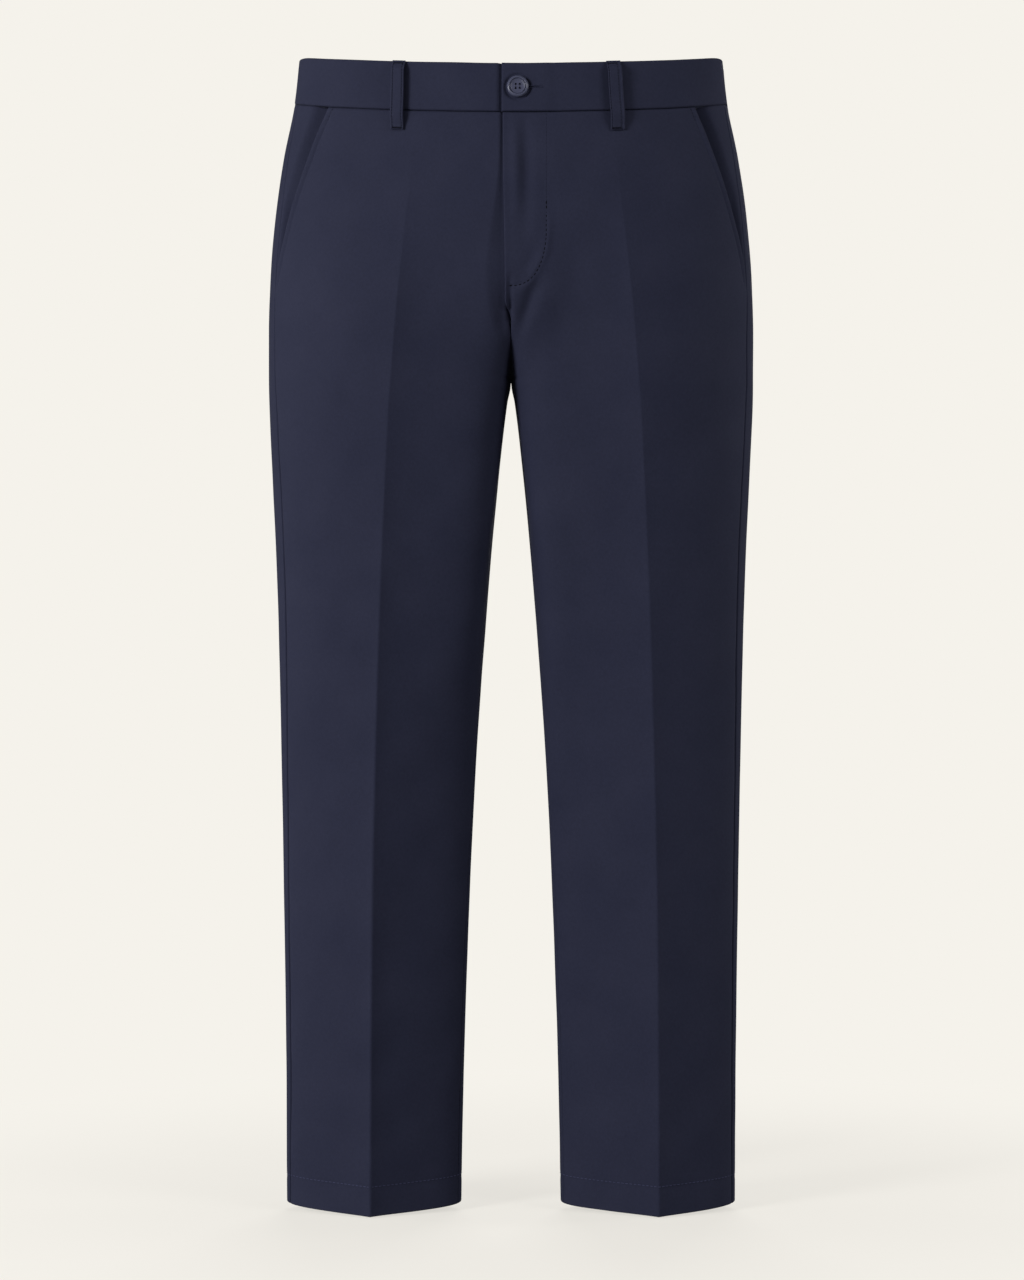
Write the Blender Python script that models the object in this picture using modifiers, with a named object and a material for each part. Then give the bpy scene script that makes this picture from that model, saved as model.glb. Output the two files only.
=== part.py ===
"""Dress trousers, filled out and hollow, made of the pieces a tailor cuts and sews.

Metres, +Z up. The front faces -Y and the wearer's left is +X. The origin is the middle of
the waist, half way up the waistband at its sides, where the wearer holds the trousers up.

Every cloth piece lies on one surface, the trousers' outer face. A place on it is written
(side, around, height):
    side    +1 for the wearer's left half and -1 for the right
    around  0 centre front or inner leg, 1 front crease, 2 side, 3 back crease, 4 centre back
    height  metres above the hem; the waist and hem dip a little from that level
"""

from bisect import bisect_right
from functools import lru_cache
from math import atan2, cos, radians, sin

import bmesh
import bpy
from mathutils import Vector

# ------------------------------------------------------------------ driving sizes

OUTSEAM = 1.0515         # side length, top of the waistband to hem
BAND_HEIGHT = 0.043
BAND_FOOT = OUTSEAM - BAND_HEIGHT
WAIST_LEVEL = OUTSEAM - BAND_HEIGHT / 2

CLOTH = 0.0012           # one wall of cloth
HEM_CLOTH = 0.0020       # the same where the hem is turned up inside
HEM_DEPTH = 0.030
BAND_CLOTH = 0.0030      # the waistband's layers
LOOP_CLOTH = 0.0018
SEAM_GAP = 0.0003
HALF_GAP = SEAM_GAP / 2

CROTCH_HEIGHT = 0.752

WAIST_DIP = 0.021        # how far the centre front sits below the sides
WAIST_LIFT = 0.005       # how far the centre back sits above them
HEM_DIP = 0.006          # how far the hem drops at the creases
HEM_DIP_REACH = 0.100    # height at which nothing is left of that
WAIST_DIP_START = 0.80   # height from which the waist's dip comes in
CREASE_SWAY = 0.0032     # both creases stand this much toward the wearer's left

POCKET_SET = 0.046       # pocket mouth to side seam, at the waist
POCKET_FOOT = 0.836      # height where the mouth meets the side seam
FACING_REACH = 0.022     # how far the facing runs under the mouth
FACING_FOOT = 0.815
FACING_SINK = 0.0018     # how far it lies under the mouth, and the quarters it takes to rise
FACING_RISE = 0.18

FLY_LAP = 0.0074         # how far the left front passes the centre, at the waist
FLY_LAP_FOOT = 0.0055
FLY_SINK = 0.0016        # how far the right front dips to pass under it
LAP_EDGE = 0.095         # the dip's flat part and its end, in quarters around
LAP_CLEAR = 0.150

BAND_PROUD = 0.0003
BAND_LAP = 0.0085        # how far the left end of the band passes the centre
BAND_UNDERLAP = 0.33     # how far the right end runs on beneath it, in quarters around
BAND_LAP_PROUD = 0.0012

LOOP_WIDTH = 0.012
LOOP_TAIL = 0.0185       # how far a belt loop reaches below the band
LOOP_SEAT = 0.0005       # gap behind its sewn ends
LOOP_ROOM = 0.0022       # further gap behind its middle

BUTTON_RADIUS = 0.0098
BUTTON_THICK = 0.0034
BUTTON_PLACE = 0.0053    # x of its middle
BUTTON_HOLE_RADIUS = 0.0009
BUTTON_HOLE_SET = 0.00185
SHANK_RADIUS = 0.0005    # the thread that holds it on
SLIT_START = 0.0035      # x of the buttonhole's two ends
SLIT_END = 0.0255
SLIT_HEIGHT = 0.0016

SMOOTH_ANGLE = radians(15)

# ------------------------------------------------------------------ level sections

# One row for each height. outer and inner: x of the side and of the inner leg. crease: x of
# both creases. front, side, back, inside: y of the front crease, the side, the back crease
# and the inner leg. ridge: degrees by which each face falls away from the crease. turn:
# degrees by which the body has turned at the crease. flat, round, press: how far the curves
# keep straight on at the crease, at the side and at the inner leg. seam and inseam: how far
# the side seam and the inner seam lie in front of the side and of the inner leg.
# front_flat, front_press: flat and press from the inner leg to the front crease.
COLUMNS = ("height", "outer", "inner", "crease", "front", "side", "back", "inside",
           "ridge", "turn", "flat", "round", "press", "seam", "inseam",
           "front_flat", "front_press")
SECTIONS = (
    (0.000, .2062, .0457, .1307, -.0500, .0030, .0520, .0010, 24, 0, .60, .36, .36, .010, .009, .60, .36),
    (0.110, .2068, .0436, .1302, -.0510, .0035, .0540, .0010, 24, 0, .60, .36, .36, .012, .009, .60, .36),
    (0.260, .2088, .0388, .1290, -.0530, .0050, .0575, .0020, 23, 0, .59, .38, .38, .014, .009, .60, .38),
    (0.400, .2114, .0323, .1262, -.0560, .0070, .0620, .0030, 20, 0, .58, .42, .43, .018, .008, .62, .46),
    (0.550, .2151, .0217, .1215, -.0640, .0110, .0760, .0050, 15, 0, .57, .48, .52, .027, .006, .70, .70),
    (0.660, .2199, .0119, .1165, -.0760, .0140, .0940, .0080, 12, 0, .56, .52, .62, .034, .004, .78, .90),
    (0.735, .2233, .0033, .1123, -.0860, .0150, .1080, .0100, 10, 0, .55, .54, .70, .037, .001, .80, .95),
    (0.752, .2236, .0002, .1108, -.0878, .0150, .1110, .0100, 10, 0, .55, .55, .72, .037, .000, .80, .95),
    (0.800, .2237, .0000, .1070, -.0920, .0150, .1170, .0100, 9, 0, .55, .55, .72, .038, .000, .80, .95),
    (0.847, .2222, .0000, .1025, -.0945, .0140, .1200, .0100, 7, 3, .55, .55, .72, .037, .000, .72, .88),
    (0.900, .2178, .0000, .0975, -.0930, .0110, .1160, .0100, 4, 9, .55, .55, .72, .034, .000, .60, .74),
    (0.958, .2094, .0000, .0920, -.0875, .0070, .1020, .0100, 2, 12, .55, .55, .72, .028, .000, .55, .72),
    (1.010, .1988, .0000, .0880, -.0815, .0040, .0880, .0100, 0, 13, .55, .55, .72, .022, .000, .55, .72),
    (1.050, .1945, .0000, .0860, -.0775, .0030, .0840, .0100, 0, 13, .55, .55, .72, .021, .000, .55, .72),
)

# y of the centre front and centre back where the body runs level across them.
CENTRE_COLUMNS = ("height", "front", "back")
CENTRE = (
    (0.752, -.0960, .1190),
    (0.860, -.0985, .1215),
    (0.900, -.0988, .1215),
    (0.958, -.0975, .1130),
    (1.010, -.0920, .0980),
    (1.050, -.0880, .0935),
)
BODY_HOLD = 0.35         # how far those curves keep straight on

# Above the fork a leg's section runs on past the centre, where the other half cuts it off,
# and gives way to the body's level curve between these heights.
FORK_SLOPE = 0.20        # how fast it passes the centre, and how that grows, per metre
FORK_SPREAD = 4.0
BLEND = {"front": (0.765, 0.860), "back": (0.765, 0.930)}


class Curve:
    """A smooth curve through a table's values, with no bumps between them."""

    def __init__(self, heights, values):
        spans = list(zip(heights, heights[1:], values, values[1:]))
        rises = [(high - low) / (top - foot) for foot, top, low, high in spans]
        inner = [2 * a * b / (a + b) if a * b > 0 else 0.0 for a, b in zip(rises, rises[1:])]
        self.heights = heights
        self.values = values
        self.slopes = [rises[0], *inner, rises[-1]]

    def __call__(self, height):
        last = len(self.heights) - 2
        k = min(max(bisect_right(self.heights, height) - 1, 0), last)
        span = self.heights[k + 1] - self.heights[k]
        t = (height - self.heights[k]) / span
        rise = self.values[k + 1] - self.values[k]
        start = self.slopes[k] * span
        end = self.slopes[k + 1] * span
        return self.values[k] + t * (start + t * (3 * rise - 2 * start - end
                                                  + t * (start + end - 2 * rise)))


def curves(names, rows):
    """A smooth curve up the garment for each column of a table but its first."""
    columns = list(zip(*rows))
    return {name: Curve(columns[0], column) for name, column in zip(names[1:], columns[1:])}


SHAPE = curves(COLUMNS, SECTIONS)
CENTRE_LINE = curves(CENTRE_COLUMNS, CENTRE)


def ramp(value, start, end):
    """0 at start and 1 at end, with a soft beginning and end."""
    t = min(max((value - start) / (end - start), 0.0), 1.0)
    return t * t * (3 - 2 * t)


def rest_of_curve(points, t):
    """The part of a cubic curve after t."""
    tails = [points[3]]
    while len(points) > 1:
        points = [low.lerp(high, t) for low, high in zip(points, points[1:])]
        tails.append(points[-1])
    return tails[::-1]


def across_centre(points):
    """t at which a cubic curve that starts past the centre comes back to x = 0."""
    low, high = 0.0, 1.0
    for _ in range(40):
        middle = (low + high) / 2
        if rest_of_curve(points, middle)[0].x < 0:
            low = middle
        else:
            high = middle
    return low


@lru_cache(maxsize=None)
def inner_quarter(side, height, which):
    """The curve from the inner leg, or from the centre seam, to the front or back crease."""
    at = {name: curve(height) for name, curve in SHAPE.items()}
    toward = Vector((0, -1)) if which == "front" else Vector((0, 1))
    if which == "front":
        at["flat"], at["press"] = at["front_flat"], at["front_press"]
    lean = radians(at["turn"] - at["ridge"])
    arriving = Vector((cos(lean), 0)) - sin(lean) * toward
    crease = Vector((at["crease"] + side * CREASE_SWAY, at[which]))
    above = height - CROTCH_HEIGHT
    inner = max(at["inner"], HALF_GAP) if above < 0 else -above * (FORK_SLOPE
                                                                   + FORK_SPREAD * above)
    start = Vector((inner, at["inside"]))
    leg = [start, start + at["press"] * abs(crease.y - start.y) * toward,
           crease - at["flat"] * (crease.x - start.x) * arriving, crease]
    if above < 0:
        return tuple(leg)
    leg = rest_of_curve(leg, across_centre(leg))
    level = Vector((0, CENTRE_LINE[which](height)))
    hold = BODY_HOLD * crease.x
    body = [level, level + Vector((hold, 0)), crease - hold * arriving, crease]
    share = ramp(height, *BLEND[which])
    mixed = [low.lerp(high, share) for low, high in zip(leg, body)]
    apart = Vector((HALF_GAP * sin(opening_angle(mixed)), 0))
    return mixed[0] + apart, mixed[1] + apart, mixed[2], mixed[3]


def opening_angle(points):
    """Angle at which a curve leaves the centre: 0 level, 90 degrees where the legs part."""
    leave = points[1] - points[0]
    return atan2(abs(leave.y), leave.x)


@lru_cache(maxsize=None)
def section(side, height):
    """The four cubic curves of a level section, from centre front or inner leg to back."""
    at = {name: curve(height) for name, curve in SHAPE.items()}
    edge = Vector((at["outer"], at["side"]))
    lean = radians(at["turn"] + at["ridge"])
    front, back = (inner_quarter(side, height, which) for which in ("front", "back"))
    outer = []
    for crease, toward in ((front[3], Vector((0, -1))), (back[3], Vector((0, 1)))):
        leaving = Vector((cos(lean), 0)) - sin(lean) * toward
        outer.append((crease, crease + at["flat"] * (edge.x - crease.x) * leaving,
                      edge + at["round"] * abs(edge.y - crease.y) * toward, edge))
    return front, outer[0], outer[1][::-1], back[::-1]


def waist_drop(depth):
    """How far the waist sits below its level at the sides, for a given y."""
    if depth < 0:
        return WAIST_DIP * (depth / CENTRE_LINE["front"](BAND_FOOT)) ** 1.25
    return -WAIST_LIFT * depth / CENTRE_LINE["back"](BAND_FOOT)


def hem_drop(around):
    """How far the hem drops toward its creases."""
    return HEM_DIP * (1 - abs(around % 2 - 1))


def surface(side, around, height):
    """A point of the outer face. Past the centre it runs on over the other half."""
    if height < CROTCH_HEIGHT:
        around = around % 4 if around != 4 else 4
    elif around < 0:
        side, around = -side, -around
    elif around > 4:
        side, around = -side, 8 - around
    quarter = min(int(around), 3)
    a, b, c, d = section(side, height)[quarter]
    t = around - quarter
    r = 1 - t
    x, y = r ** 3 * a + 3 * r * r * t * b + 3 * r * t * t * c + t ** 3 * d
    drop = waist_drop(y) * ramp(height, WAIST_DIP_START, BAND_FOOT)
    drop += hem_drop(around) * (1 - ramp(height, 0.0, HEM_DIP_REACH))
    return Vector((side * x, y, height - drop - WAIST_LEVEL))


def outward(side, around, height):
    """Unit normal of the outer face, and on a crease the middle one of its two faces."""
    nudge = 0.0005
    here = surface(side, around, height)
    up = surface(side, around, height + nudge) - surface(side, around, height - nudge)
    total = Vector()
    for lean in (-nudge, nudge):
        past = around + lean
        if height >= CROTCH_HEIGHT and (past < 0 <= around or around < 0 <= past
                                        or past > 4 >= around or around > 4 >= past):
            continue
        across = (surface(side, past, height) - here) * (side if lean > 0 else -side)
        total += across.cross(up).normalized()
    return total.normalized()


def along(side, around, height, distance):
    """The place a distance further round the section, measured on the cloth."""
    steps = 12
    nudge = 0.001
    for _ in range(steps):
        ahead = surface(side, around + nudge, height)
        behind = surface(side, around - nudge, height)
        around += distance / steps * 2 * nudge / (ahead - behind).length
    return around


def front_at(side, x, height):
    """around for a distance x out from the centre front, above the fork."""
    beyond = -1 if x < 0 else 1
    low, high = 0.0, 2.0
    for _ in range(30):
        middle = (low + high) / 2
        if abs(surface(side, beyond * middle, height).x) < abs(x):
            low = middle
        else:
            high = middle
    return beyond * low


def side_seam(side, height):
    """around of the side seam."""
    return along(side, 2.0, height, -SHAPE["seam"](height))


def pocket_mouth(side, height):
    """around of the pocket's edge: a slant from the waist down to the side seam."""
    share = max(0.0, (height - POCKET_FOOT) / (BAND_FOOT - POCKET_FOOT))
    return along(side, side_seam(side, height), height, -POCKET_SET * share)


def evenly(start, end, count):
    """count steps from start to end, both ends given."""
    return [start + (end - start) * k / count for k in range(count + 1)]


# ------------------------------------------------------------------ making the pieces

def material(name, colour, roughness, metallic=0.0):
    made = bpy.data.materials.new(name)
    made.use_nodes = True
    shader = made.node_tree.nodes["Principled BSDF"]
    shader.inputs["Base Color"].default_value = (*colour, 1.0)
    shader.inputs["Roughness"].default_value = roughness
    shader.inputs["Metallic"].default_value = metallic
    return made


def keep(mesh, name, finish, collection):
    """Put a mesh in the scene as a named object with its finish."""
    piece = bpy.data.objects.new(name, mesh)
    mesh.materials.append(finish)
    mesh.shade_smooth()
    mesh.set_sharp_from_angle(angle=SMOOTH_ANGLE)
    collection.objects.link(piece)
    return piece


def cloth(name, places, lift, thickness, finish, collection):
    """A closed wall of cloth.

    places is a grid of (side, around, height), row by row up the garment. lift is how far
    the piece's face stands off the trousers' surface there, and thickness is its wall.
    The faces are laid by hand because each row is a different section.
    """
    shell = bmesh.new()
    face, back = [], []
    for row in places:
        normals = [outward(*place) for place in row]
        points = [surface(*place) for place in row]
        rise = [lift(*place) for place in row]
        depth = [thickness(*place) for place in row]
        lines = list(zip(points, normals, rise, depth))
        face.append([shell.verts.new(p + n * up) for p, n, up, wall in lines])
        back.append([shell.verts.new(p + n * (up - wall)) for p, n, up, wall in lines])
    last_row, last_column = len(places) - 1, len(places[0]) - 1
    for i in range(last_row):
        for j in range(last_column):
            shell.faces.new((face[i][j], face[i][j + 1], face[i + 1][j + 1], face[i + 1][j]))
            shell.faces.new((back[i][j], back[i + 1][j], back[i + 1][j + 1], back[i][j + 1]))
    for i in range(last_row):
        for j in (0, last_column):
            shell.faces.new((face[i][j], face[i + 1][j], back[i + 1][j], back[i][j]))
    for j in range(last_column):
        for i in (0, last_row):
            shell.faces.new((face[i][j], face[i][j + 1], back[i][j + 1], back[i][j]))
    bmesh.ops.recalc_face_normals(shell, faces=shell.faces)
    mesh = bpy.data.meshes.new(name)
    shell.to_mesh(mesh)
    shell.free()
    return keep(mesh, name, finish, collection)


def panel_thickness(side, around, height):
    return HEM_CLOTH if height <= HEM_DEPTH else CLOTH


def flat_on(side, around, height):
    return 0.0


# ------------------------------------------------------------------ fronts and backs

PANEL_HEIGHTS = (
    0.000, 0.030, 0.032, 0.110, 0.200, 0.290, 0.370, 0.450, 0.530, 0.600, 0.660, 0.705, 0.735,
    CROTCH_HEIGHT, 0.756, 0.766, 0.782, 0.803, 0.820, POCKET_FOOT, 0.848, 0.862, 0.900, 0.940,
    0.978, BAND_FOOT - SEAM_GAP,
)
LAP_HEIGHTS = (0.803, 0.820)     # the left front passes the centre between these
LAP_DIP_START = 0.785            # and the right front has begun to dip from here
FRONT_INNER = {1: (0, .12, .26, .40, .55, .70, .85, 1),
               -1: (0, LAP_EDGE, LAP_CLEAR, .30, .48, .66, .83, 1)}
FRONT_OUTER = (.14, .28, .43, .58, .72, .86, 1)
BACK_OUTER = (0, .14, .28, .42, .56, .70, .85, 1)
BACK_INNER = (.18, .36, .54, .70, .85, 1)


def centre_gap(side, height, which):
    """How far a panel keeps from the centre, where it may meet the other one flat or face on."""
    return HALF_GAP * cos(opening_angle(inner_quarter(side, height, which)))


def inner_edge(side, height):
    """around of the front's inner edge: the inner seam, then the centre seam or the fly."""
    if height < CROTCH_HEIGHT:
        return along(side, 0.0, height, SHAPE["inseam"](height) + HALF_GAP)
    if side < 0 or height <= LAP_HEIGHTS[0]:
        return along(side, 0.0, height, centre_gap(side, height, "front"))
    share = ramp(height, LAP_HEIGHTS[1], BAND_FOOT)
    lap = FLY_LAP_FOOT + (FLY_LAP - FLY_LAP_FOOT) * share
    return front_at(side, -lap, height)


def fly_dip(side, around, height):
    """The right front dips behind the left one beside the fly."""
    if side > 0:
        return 0.0
    beside = 1 - ramp(around, LAP_EDGE, LAP_CLEAR)
    return -FLY_SINK * beside * ramp(height, LAP_DIP_START, LAP_HEIGHTS[0])


def front(side, name, finish, collection):
    """A front: from the inner leg and the fly to the side seam and the pocket mouth."""
    places = []
    for height in PANEL_HEIGHTS:
        start = inner_edge(side, height)
        end = along(side, pocket_mouth(side, height), height, -HALF_GAP)
        inner = [start + (1 - start) * share for share in FRONT_INNER[side]]
        outer = [1 + (end - 1) * share for share in FRONT_OUTER]
        places.append([(side, around, height) for around in inner + outer])
    return cloth(name, places, fly_dip, panel_thickness, finish, collection)


def back(side, name, finish, collection):
    """A back: from the side seam round to the centre back seam and the inner leg."""
    places = []
    for height in PANEL_HEIGHTS:
        start = along(side, side_seam(side, height), height, HALF_GAP)
        if height < CROTCH_HEIGHT:
            end = 4 + along(side, 0.0, height, SHAPE["inseam"](height) - HALF_GAP)
        else:
            end = along(side, 4.0, height, -centre_gap(side, height, "back"))
        outer = [start + (3 - start) * share for share in BACK_OUTER]
        inner = [3 + (end - 3) * share for share in BACK_INNER]
        places.append([(side, around, height) for around in outer + inner])
    return cloth(name, places, flat_on, panel_thickness, finish, collection)


# ------------------------------------------------------------------ pocket facings

def pocket_facing(side, name, finish, collection):
    """The cloth inside a pocket's mouth: sunk under its edge, level at the side seam."""
    def sink(side, around, height):
        return -FACING_SINK * (1 - ramp(around - pocket_mouth(side, height), 0.0, FACING_RISE))

    places = []
    for height in (FACING_FOOT, 0.826, POCKET_FOOT, 0.850, 0.875, 0.905, 0.940, 0.975,
                   BAND_FOOT - SEAM_GAP):
        start = along(side, pocket_mouth(side, height), height, -FACING_REACH)
        end = along(side, side_seam(side, height), height, -HALF_GAP)
        places.append([(side, around, height) for around in evenly(start, end, 7)])
    return cloth(name, places, sink, lambda *place: CLOTH, finish, collection)


# ------------------------------------------------------------------ waistband

BAND_HEIGHTS = (BAND_FOOT, BAND_FOOT + BAND_HEIGHT / 2, OUTSEAM)
BAND_QUARTER = (.17, .34, .51, .67, .84, 1)
BAND_LEVEL = 0.45                # quarters around by which the left end lies level again
BAND_DIP = (0.105, 0.18)         # and between which the right end does


def waistband(side, name, finish, collection):
    """Half of the band. The left end laps over the fly, and the right one runs beneath."""
    if side > 0:
        lap = front_at(side, -BAND_LAP, BAND_FOOT)
        front_places = [lap, 0, .11, .22, BAND_UNDERLAP, BAND_LEVEL, .60, .80, 1]
    else:
        front_places = [-BAND_UNDERLAP, -.22, -.11, 0, BAND_DIP[0], BAND_DIP[1], .30, .45, .60,
                        .80, 1]

    def lift(side, around, height):
        if side > 0:
            raised, come_down = BAND_LAP_PROUD, ramp(around, BAND_UNDERLAP, BAND_LEVEL)
        else:
            raised = BAND_LAP_PROUD - BAND_CLOTH - SEAM_GAP
            come_down = ramp(around, *BAND_DIP)
        return raised + (BAND_PROUD - raised) * come_down

    end = along(side, 4.0, BAND_FOOT, -HALF_GAP)
    rest = [start + share for start in (1, 2) for share in BAND_QUARTER]
    rest += [3 + (end - 3) * share for share in BAND_QUARTER]
    places = [[(side, around, height) for around in front_places + rest]
              for height in BAND_HEIGHTS]
    return cloth(name, places, lift, lambda *place: BAND_CLOTH, finish, collection)


# ------------------------------------------------------------------ belt loops

LOOP_TOP = OUTSEAM
LOOP_FOOT = BAND_FOOT - LOOP_TAIL
# The front loops lean: distance from the centre front at the top and at the foot.
FRONT_LOOPS = (("belt_loop_front_left", 1, 0.0892, 0.0939),
               ("belt_loop_front_right", -1, 0.1000, 0.1018))
# The others stand upright: around.
OTHER_LOOPS = (("belt_loop_side_left", 1, 2.16), ("belt_loop_side_right", -1, 2.16),
               ("belt_loop_back_left", 1, 3.00), ("belt_loop_back_right", -1, 3.00),
               ("belt_loop_center_back", 1, 4.00))


def belt_loop(name, side, top, foot, finish, collection):
    """A narrow strip sewn down at both ends, standing off the band between them."""
    def share_up(height):
        return (height - LOOP_FOOT) / (LOOP_TOP - LOOP_FOOT)

    def stand(side, around, height):
        up = share_up(height)
        arch = ramp(up, 0.0, 0.22) * ramp(1 - up, 0.0, 0.18)
        return BAND_PROUD + LOOP_SEAT + LOOP_ROOM * arch + LOOP_CLOTH

    places = []
    for height in evenly(LOOP_FOOT, LOOP_TOP, 10):
        middle = foot + (top - foot) * share_up(height)
        row = [along(side, middle, height, part * LOOP_WIDTH / 2) for part in (-1, 0, 1)]
        places.append([(side, around, height) for around in row])
    return cloth(name, places, stand, lambda *place: LOOP_CLOTH, finish, collection)


# ------------------------------------------------------------------ fly, zip and button

ZIP_HEIGHTS = (0.848, 0.862, 0.900, 0.940, 0.978, 0.985)
SLIDER_HEIGHTS = (0.9853, 0.9973)
SHIELD_HEIGHTS = (0.848, 0.862, 0.900, 0.940, 0.978, 1.0070)
ZIP_WIDTH = 0.028
SHIELD_SPAN = (-0.012, 0.034)    # x of its edges
SHIELD_FOOT = 0.018              # x of its free edge at the foot
SLIDER_SPAN = (0.004, 0.012)
SLIDER_THICK = 0.0031
ZIP_SINK = CLOTH + 2 * SEAM_GAP
SHIELD_SINKS = (-0.009, 0.030)   # quarters around in which it goes under the zip


def fly_strip(name, heights, xs, lift, thickness, finish, collection):
    """A strip behind the fly: xs gives its x places at each height."""
    places = [[(1, front_at(1, x, height), height) for x in xs(height)] for height in heights]
    return cloth(name, places, lift, thickness, finish, collection)


def zip_tape(finish, collection):
    return fly_strip("zip", ZIP_HEIGHTS, lambda height: evenly(0.0002, ZIP_WIDTH, 4),
                     lambda *place: -ZIP_SINK, lambda *place: CLOTH, finish, collection)


def zip_slider(finish, collection):
    return fly_strip("zip_slider", SLIDER_HEIGHTS, lambda height: SLIDER_SPAN,
                     lambda *place: -ZIP_SINK, lambda *place: SLIDER_THICK, finish, collection)


def fly_shield(finish, collection):
    """The underlap behind the zip, sewn to the right front and rounded off at its foot."""
    seat = FLY_SINK + CLOTH + 2 * SEAM_GAP
    deep = ZIP_SINK + SLIDER_THICK + 2 * SEAM_GAP

    def xs(height):
        taper = 1 - ramp(height, SHIELD_HEIGHTS[0], SHIELD_HEIGHTS[2])
        free = SHIELD_SPAN[1] - (SHIELD_SPAN[1] - SHIELD_FOOT) * taper
        return [SHIELD_SPAN[0], -0.006, -0.001, 0.003, 0.012, (0.012 + free) / 2, free]

    def lift(side, around, height):
        return -seat - (deep - seat) * ramp(around, *SHIELD_SINKS)

    return fly_strip("fly_shield", SHIELD_HEIGHTS, xs, lift, lambda *place: CLOTH,
                     finish, collection)


def facing_frame(x, height):
    """Where something sits on the left end of the band, and the turn that faces it out."""
    place = (1, front_at(1, x, height), height)
    out = outward(*place)
    return surface(*place) + out * BAND_LAP_PROUD, out.to_track_quat("Z", "Y").to_euler()


def button(finish, collection, cutters):
    """A turned four-hole button whose thread shank passes through the buttonhole."""
    middle = BAND_FOOT + BAND_HEIGHT / 2
    seat, turn = facing_frame(BUTTON_PLACE, middle)
    rim, foot = BUTTON_RADIUS, SEAM_GAP
    top = foot + BUTTON_THICK
    profile = ((0, top - .0012), (.60 * rim, top - .0012), (.70 * rim, top - .0003),
               (.84 * rim, top), (.96 * rim, top - .0006), (rim, top - .0016),
               (.93 * rim, foot + .0006), (.70 * rim, foot), (SHANK_RADIUS, foot),
               (SHANK_RADIUS, -BAND_CLOTH), (0, -BAND_CLOTH))
    mesh = bpy.data.meshes.new("button")
    mesh.from_pydata([(x, 0, z) for x, z in profile],
                     [(k, k + 1) for k in range(len(profile) - 1)], [])
    piece = keep(mesh, "button", finish, collection)
    screw = piece.modifiers.new("Turn", "SCREW")
    screw.steps = screw.render_steps = 24
    screw.use_merge_vertices = True
    screw.merge_threshold = 0.00001
    holes = bmesh.new()
    for x in (-1, 1):
        for y in (-1, 1):
            drilled = bmesh.ops.create_cone(
                holes, cap_ends=True, segments=10, radius1=BUTTON_HOLE_RADIUS,
                radius2=BUTTON_HOLE_RADIUS, depth=4 * BUTTON_THICK)
            bmesh.ops.translate(holes, verts=drilled["verts"],
                                vec=(x * BUTTON_HOLE_SET, y * BUTTON_HOLE_SET, 0))
    drill = cutter("button_holes", holes, cutters)
    for placed in (piece, drill):
        placed.location = seat
        placed.rotation_euler = turn
    cut(piece, drill)
    return piece


def cutter(name, shape, cutters):
    """A cutting shape, kept out of the part."""
    mesh = bpy.data.meshes.new(name)
    shape.to_mesh(mesh)
    shape.free()
    tool = bpy.data.objects.new(name, mesh)
    tool.hide_render = True
    tool.display_type = "WIRE"
    cutters.objects.link(tool)
    return tool


def cut(piece, tool):
    boolean = piece.modifiers.new("Cut", "BOOLEAN")
    boolean.operation = "DIFFERENCE"
    boolean.solver = "EXACT"
    boolean.object = tool


def buttonhole(band, cutters):
    """The slit in the left end of the band, level and through all its layers."""
    slit = bmesh.new()
    bmesh.ops.create_cube(slit, size=1)
    bmesh.ops.scale(slit, verts=slit.verts,
                    vec=(SLIT_END - SLIT_START, SLIT_HEIGHT, 4 * BAND_CLOTH))
    tool = cutter("buttonhole", slit, cutters)
    tool.location, tool.rotation_euler = facing_frame((SLIT_START + SLIT_END) / 2,
                                                      BAND_FOOT + BAND_HEIGHT / 2)
    cut(band, tool)


# ------------------------------------------------------------------ the trousers

def collection_named(name):
    made = bpy.data.collections.new(name)
    bpy.context.scene.collection.children.link(made)
    return made


def build():
    for old in list(bpy.data.objects):
        bpy.data.objects.remove(old, do_unlink=True)
    trousers = collection_named("dress_trousers")
    cutters = collection_named("cutters")
    wool = material("navy_cloth", (0.028, 0.036, 0.062), 0.75)
    resin = material("navy_resin", (0.10, 0.10, 0.15), 0.35)
    tape = material("navy_tape", (0.02, 0.024, 0.040), 0.85)
    metal = material("dark_metal", (0.20, 0.20, 0.21), 0.35, 1.0)
    for side, name in ((1, "left"), (-1, "right")):
        front(side, f"front_{name}", wool, trousers)
        back(side, f"back_{name}", wool, trousers)
        pocket_facing(side, f"pocket_facing_{name}", wool, trousers)
    left_band = waistband(1, "waistband_left", wool, trousers)
    waistband(-1, "waistband_right", wool, trousers)
    buttonhole(left_band, cutters)
    for name, side, top, foot in FRONT_LOOPS:
        belt_loop(name, side, front_at(side, top, LOOP_TOP), front_at(side, foot, LOOP_FOOT),
                  wool, trousers)
    for name, side, around in OTHER_LOOPS:
        belt_loop(name, side, around, around, wool, trousers)
    fly_shield(wool, trousers)
    zip_tape(tape, trousers)
    zip_slider(metal, trousers)
    button(resin, trousers, cutters)


build()
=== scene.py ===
"""Dress trousers, finished: fine cloth shells with their creases, folds and stitching.

Metres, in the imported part's frame: +Z up, the front faces -Y and the wearer's left is +X.
A place on the cloth is (side, around, height), as in the part's own source:
    side    +1 for the wearer's left half and -1 for the right
    around  0 centre front or inner leg, 1 front crease, 2 side, 3 back crease, 4 centre back
    height  metres above the hem; the waist and hem dip a little from that level
"""

from bisect import bisect_right
from functools import lru_cache
from math import atan2, cos, pi, radians, sin

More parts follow.
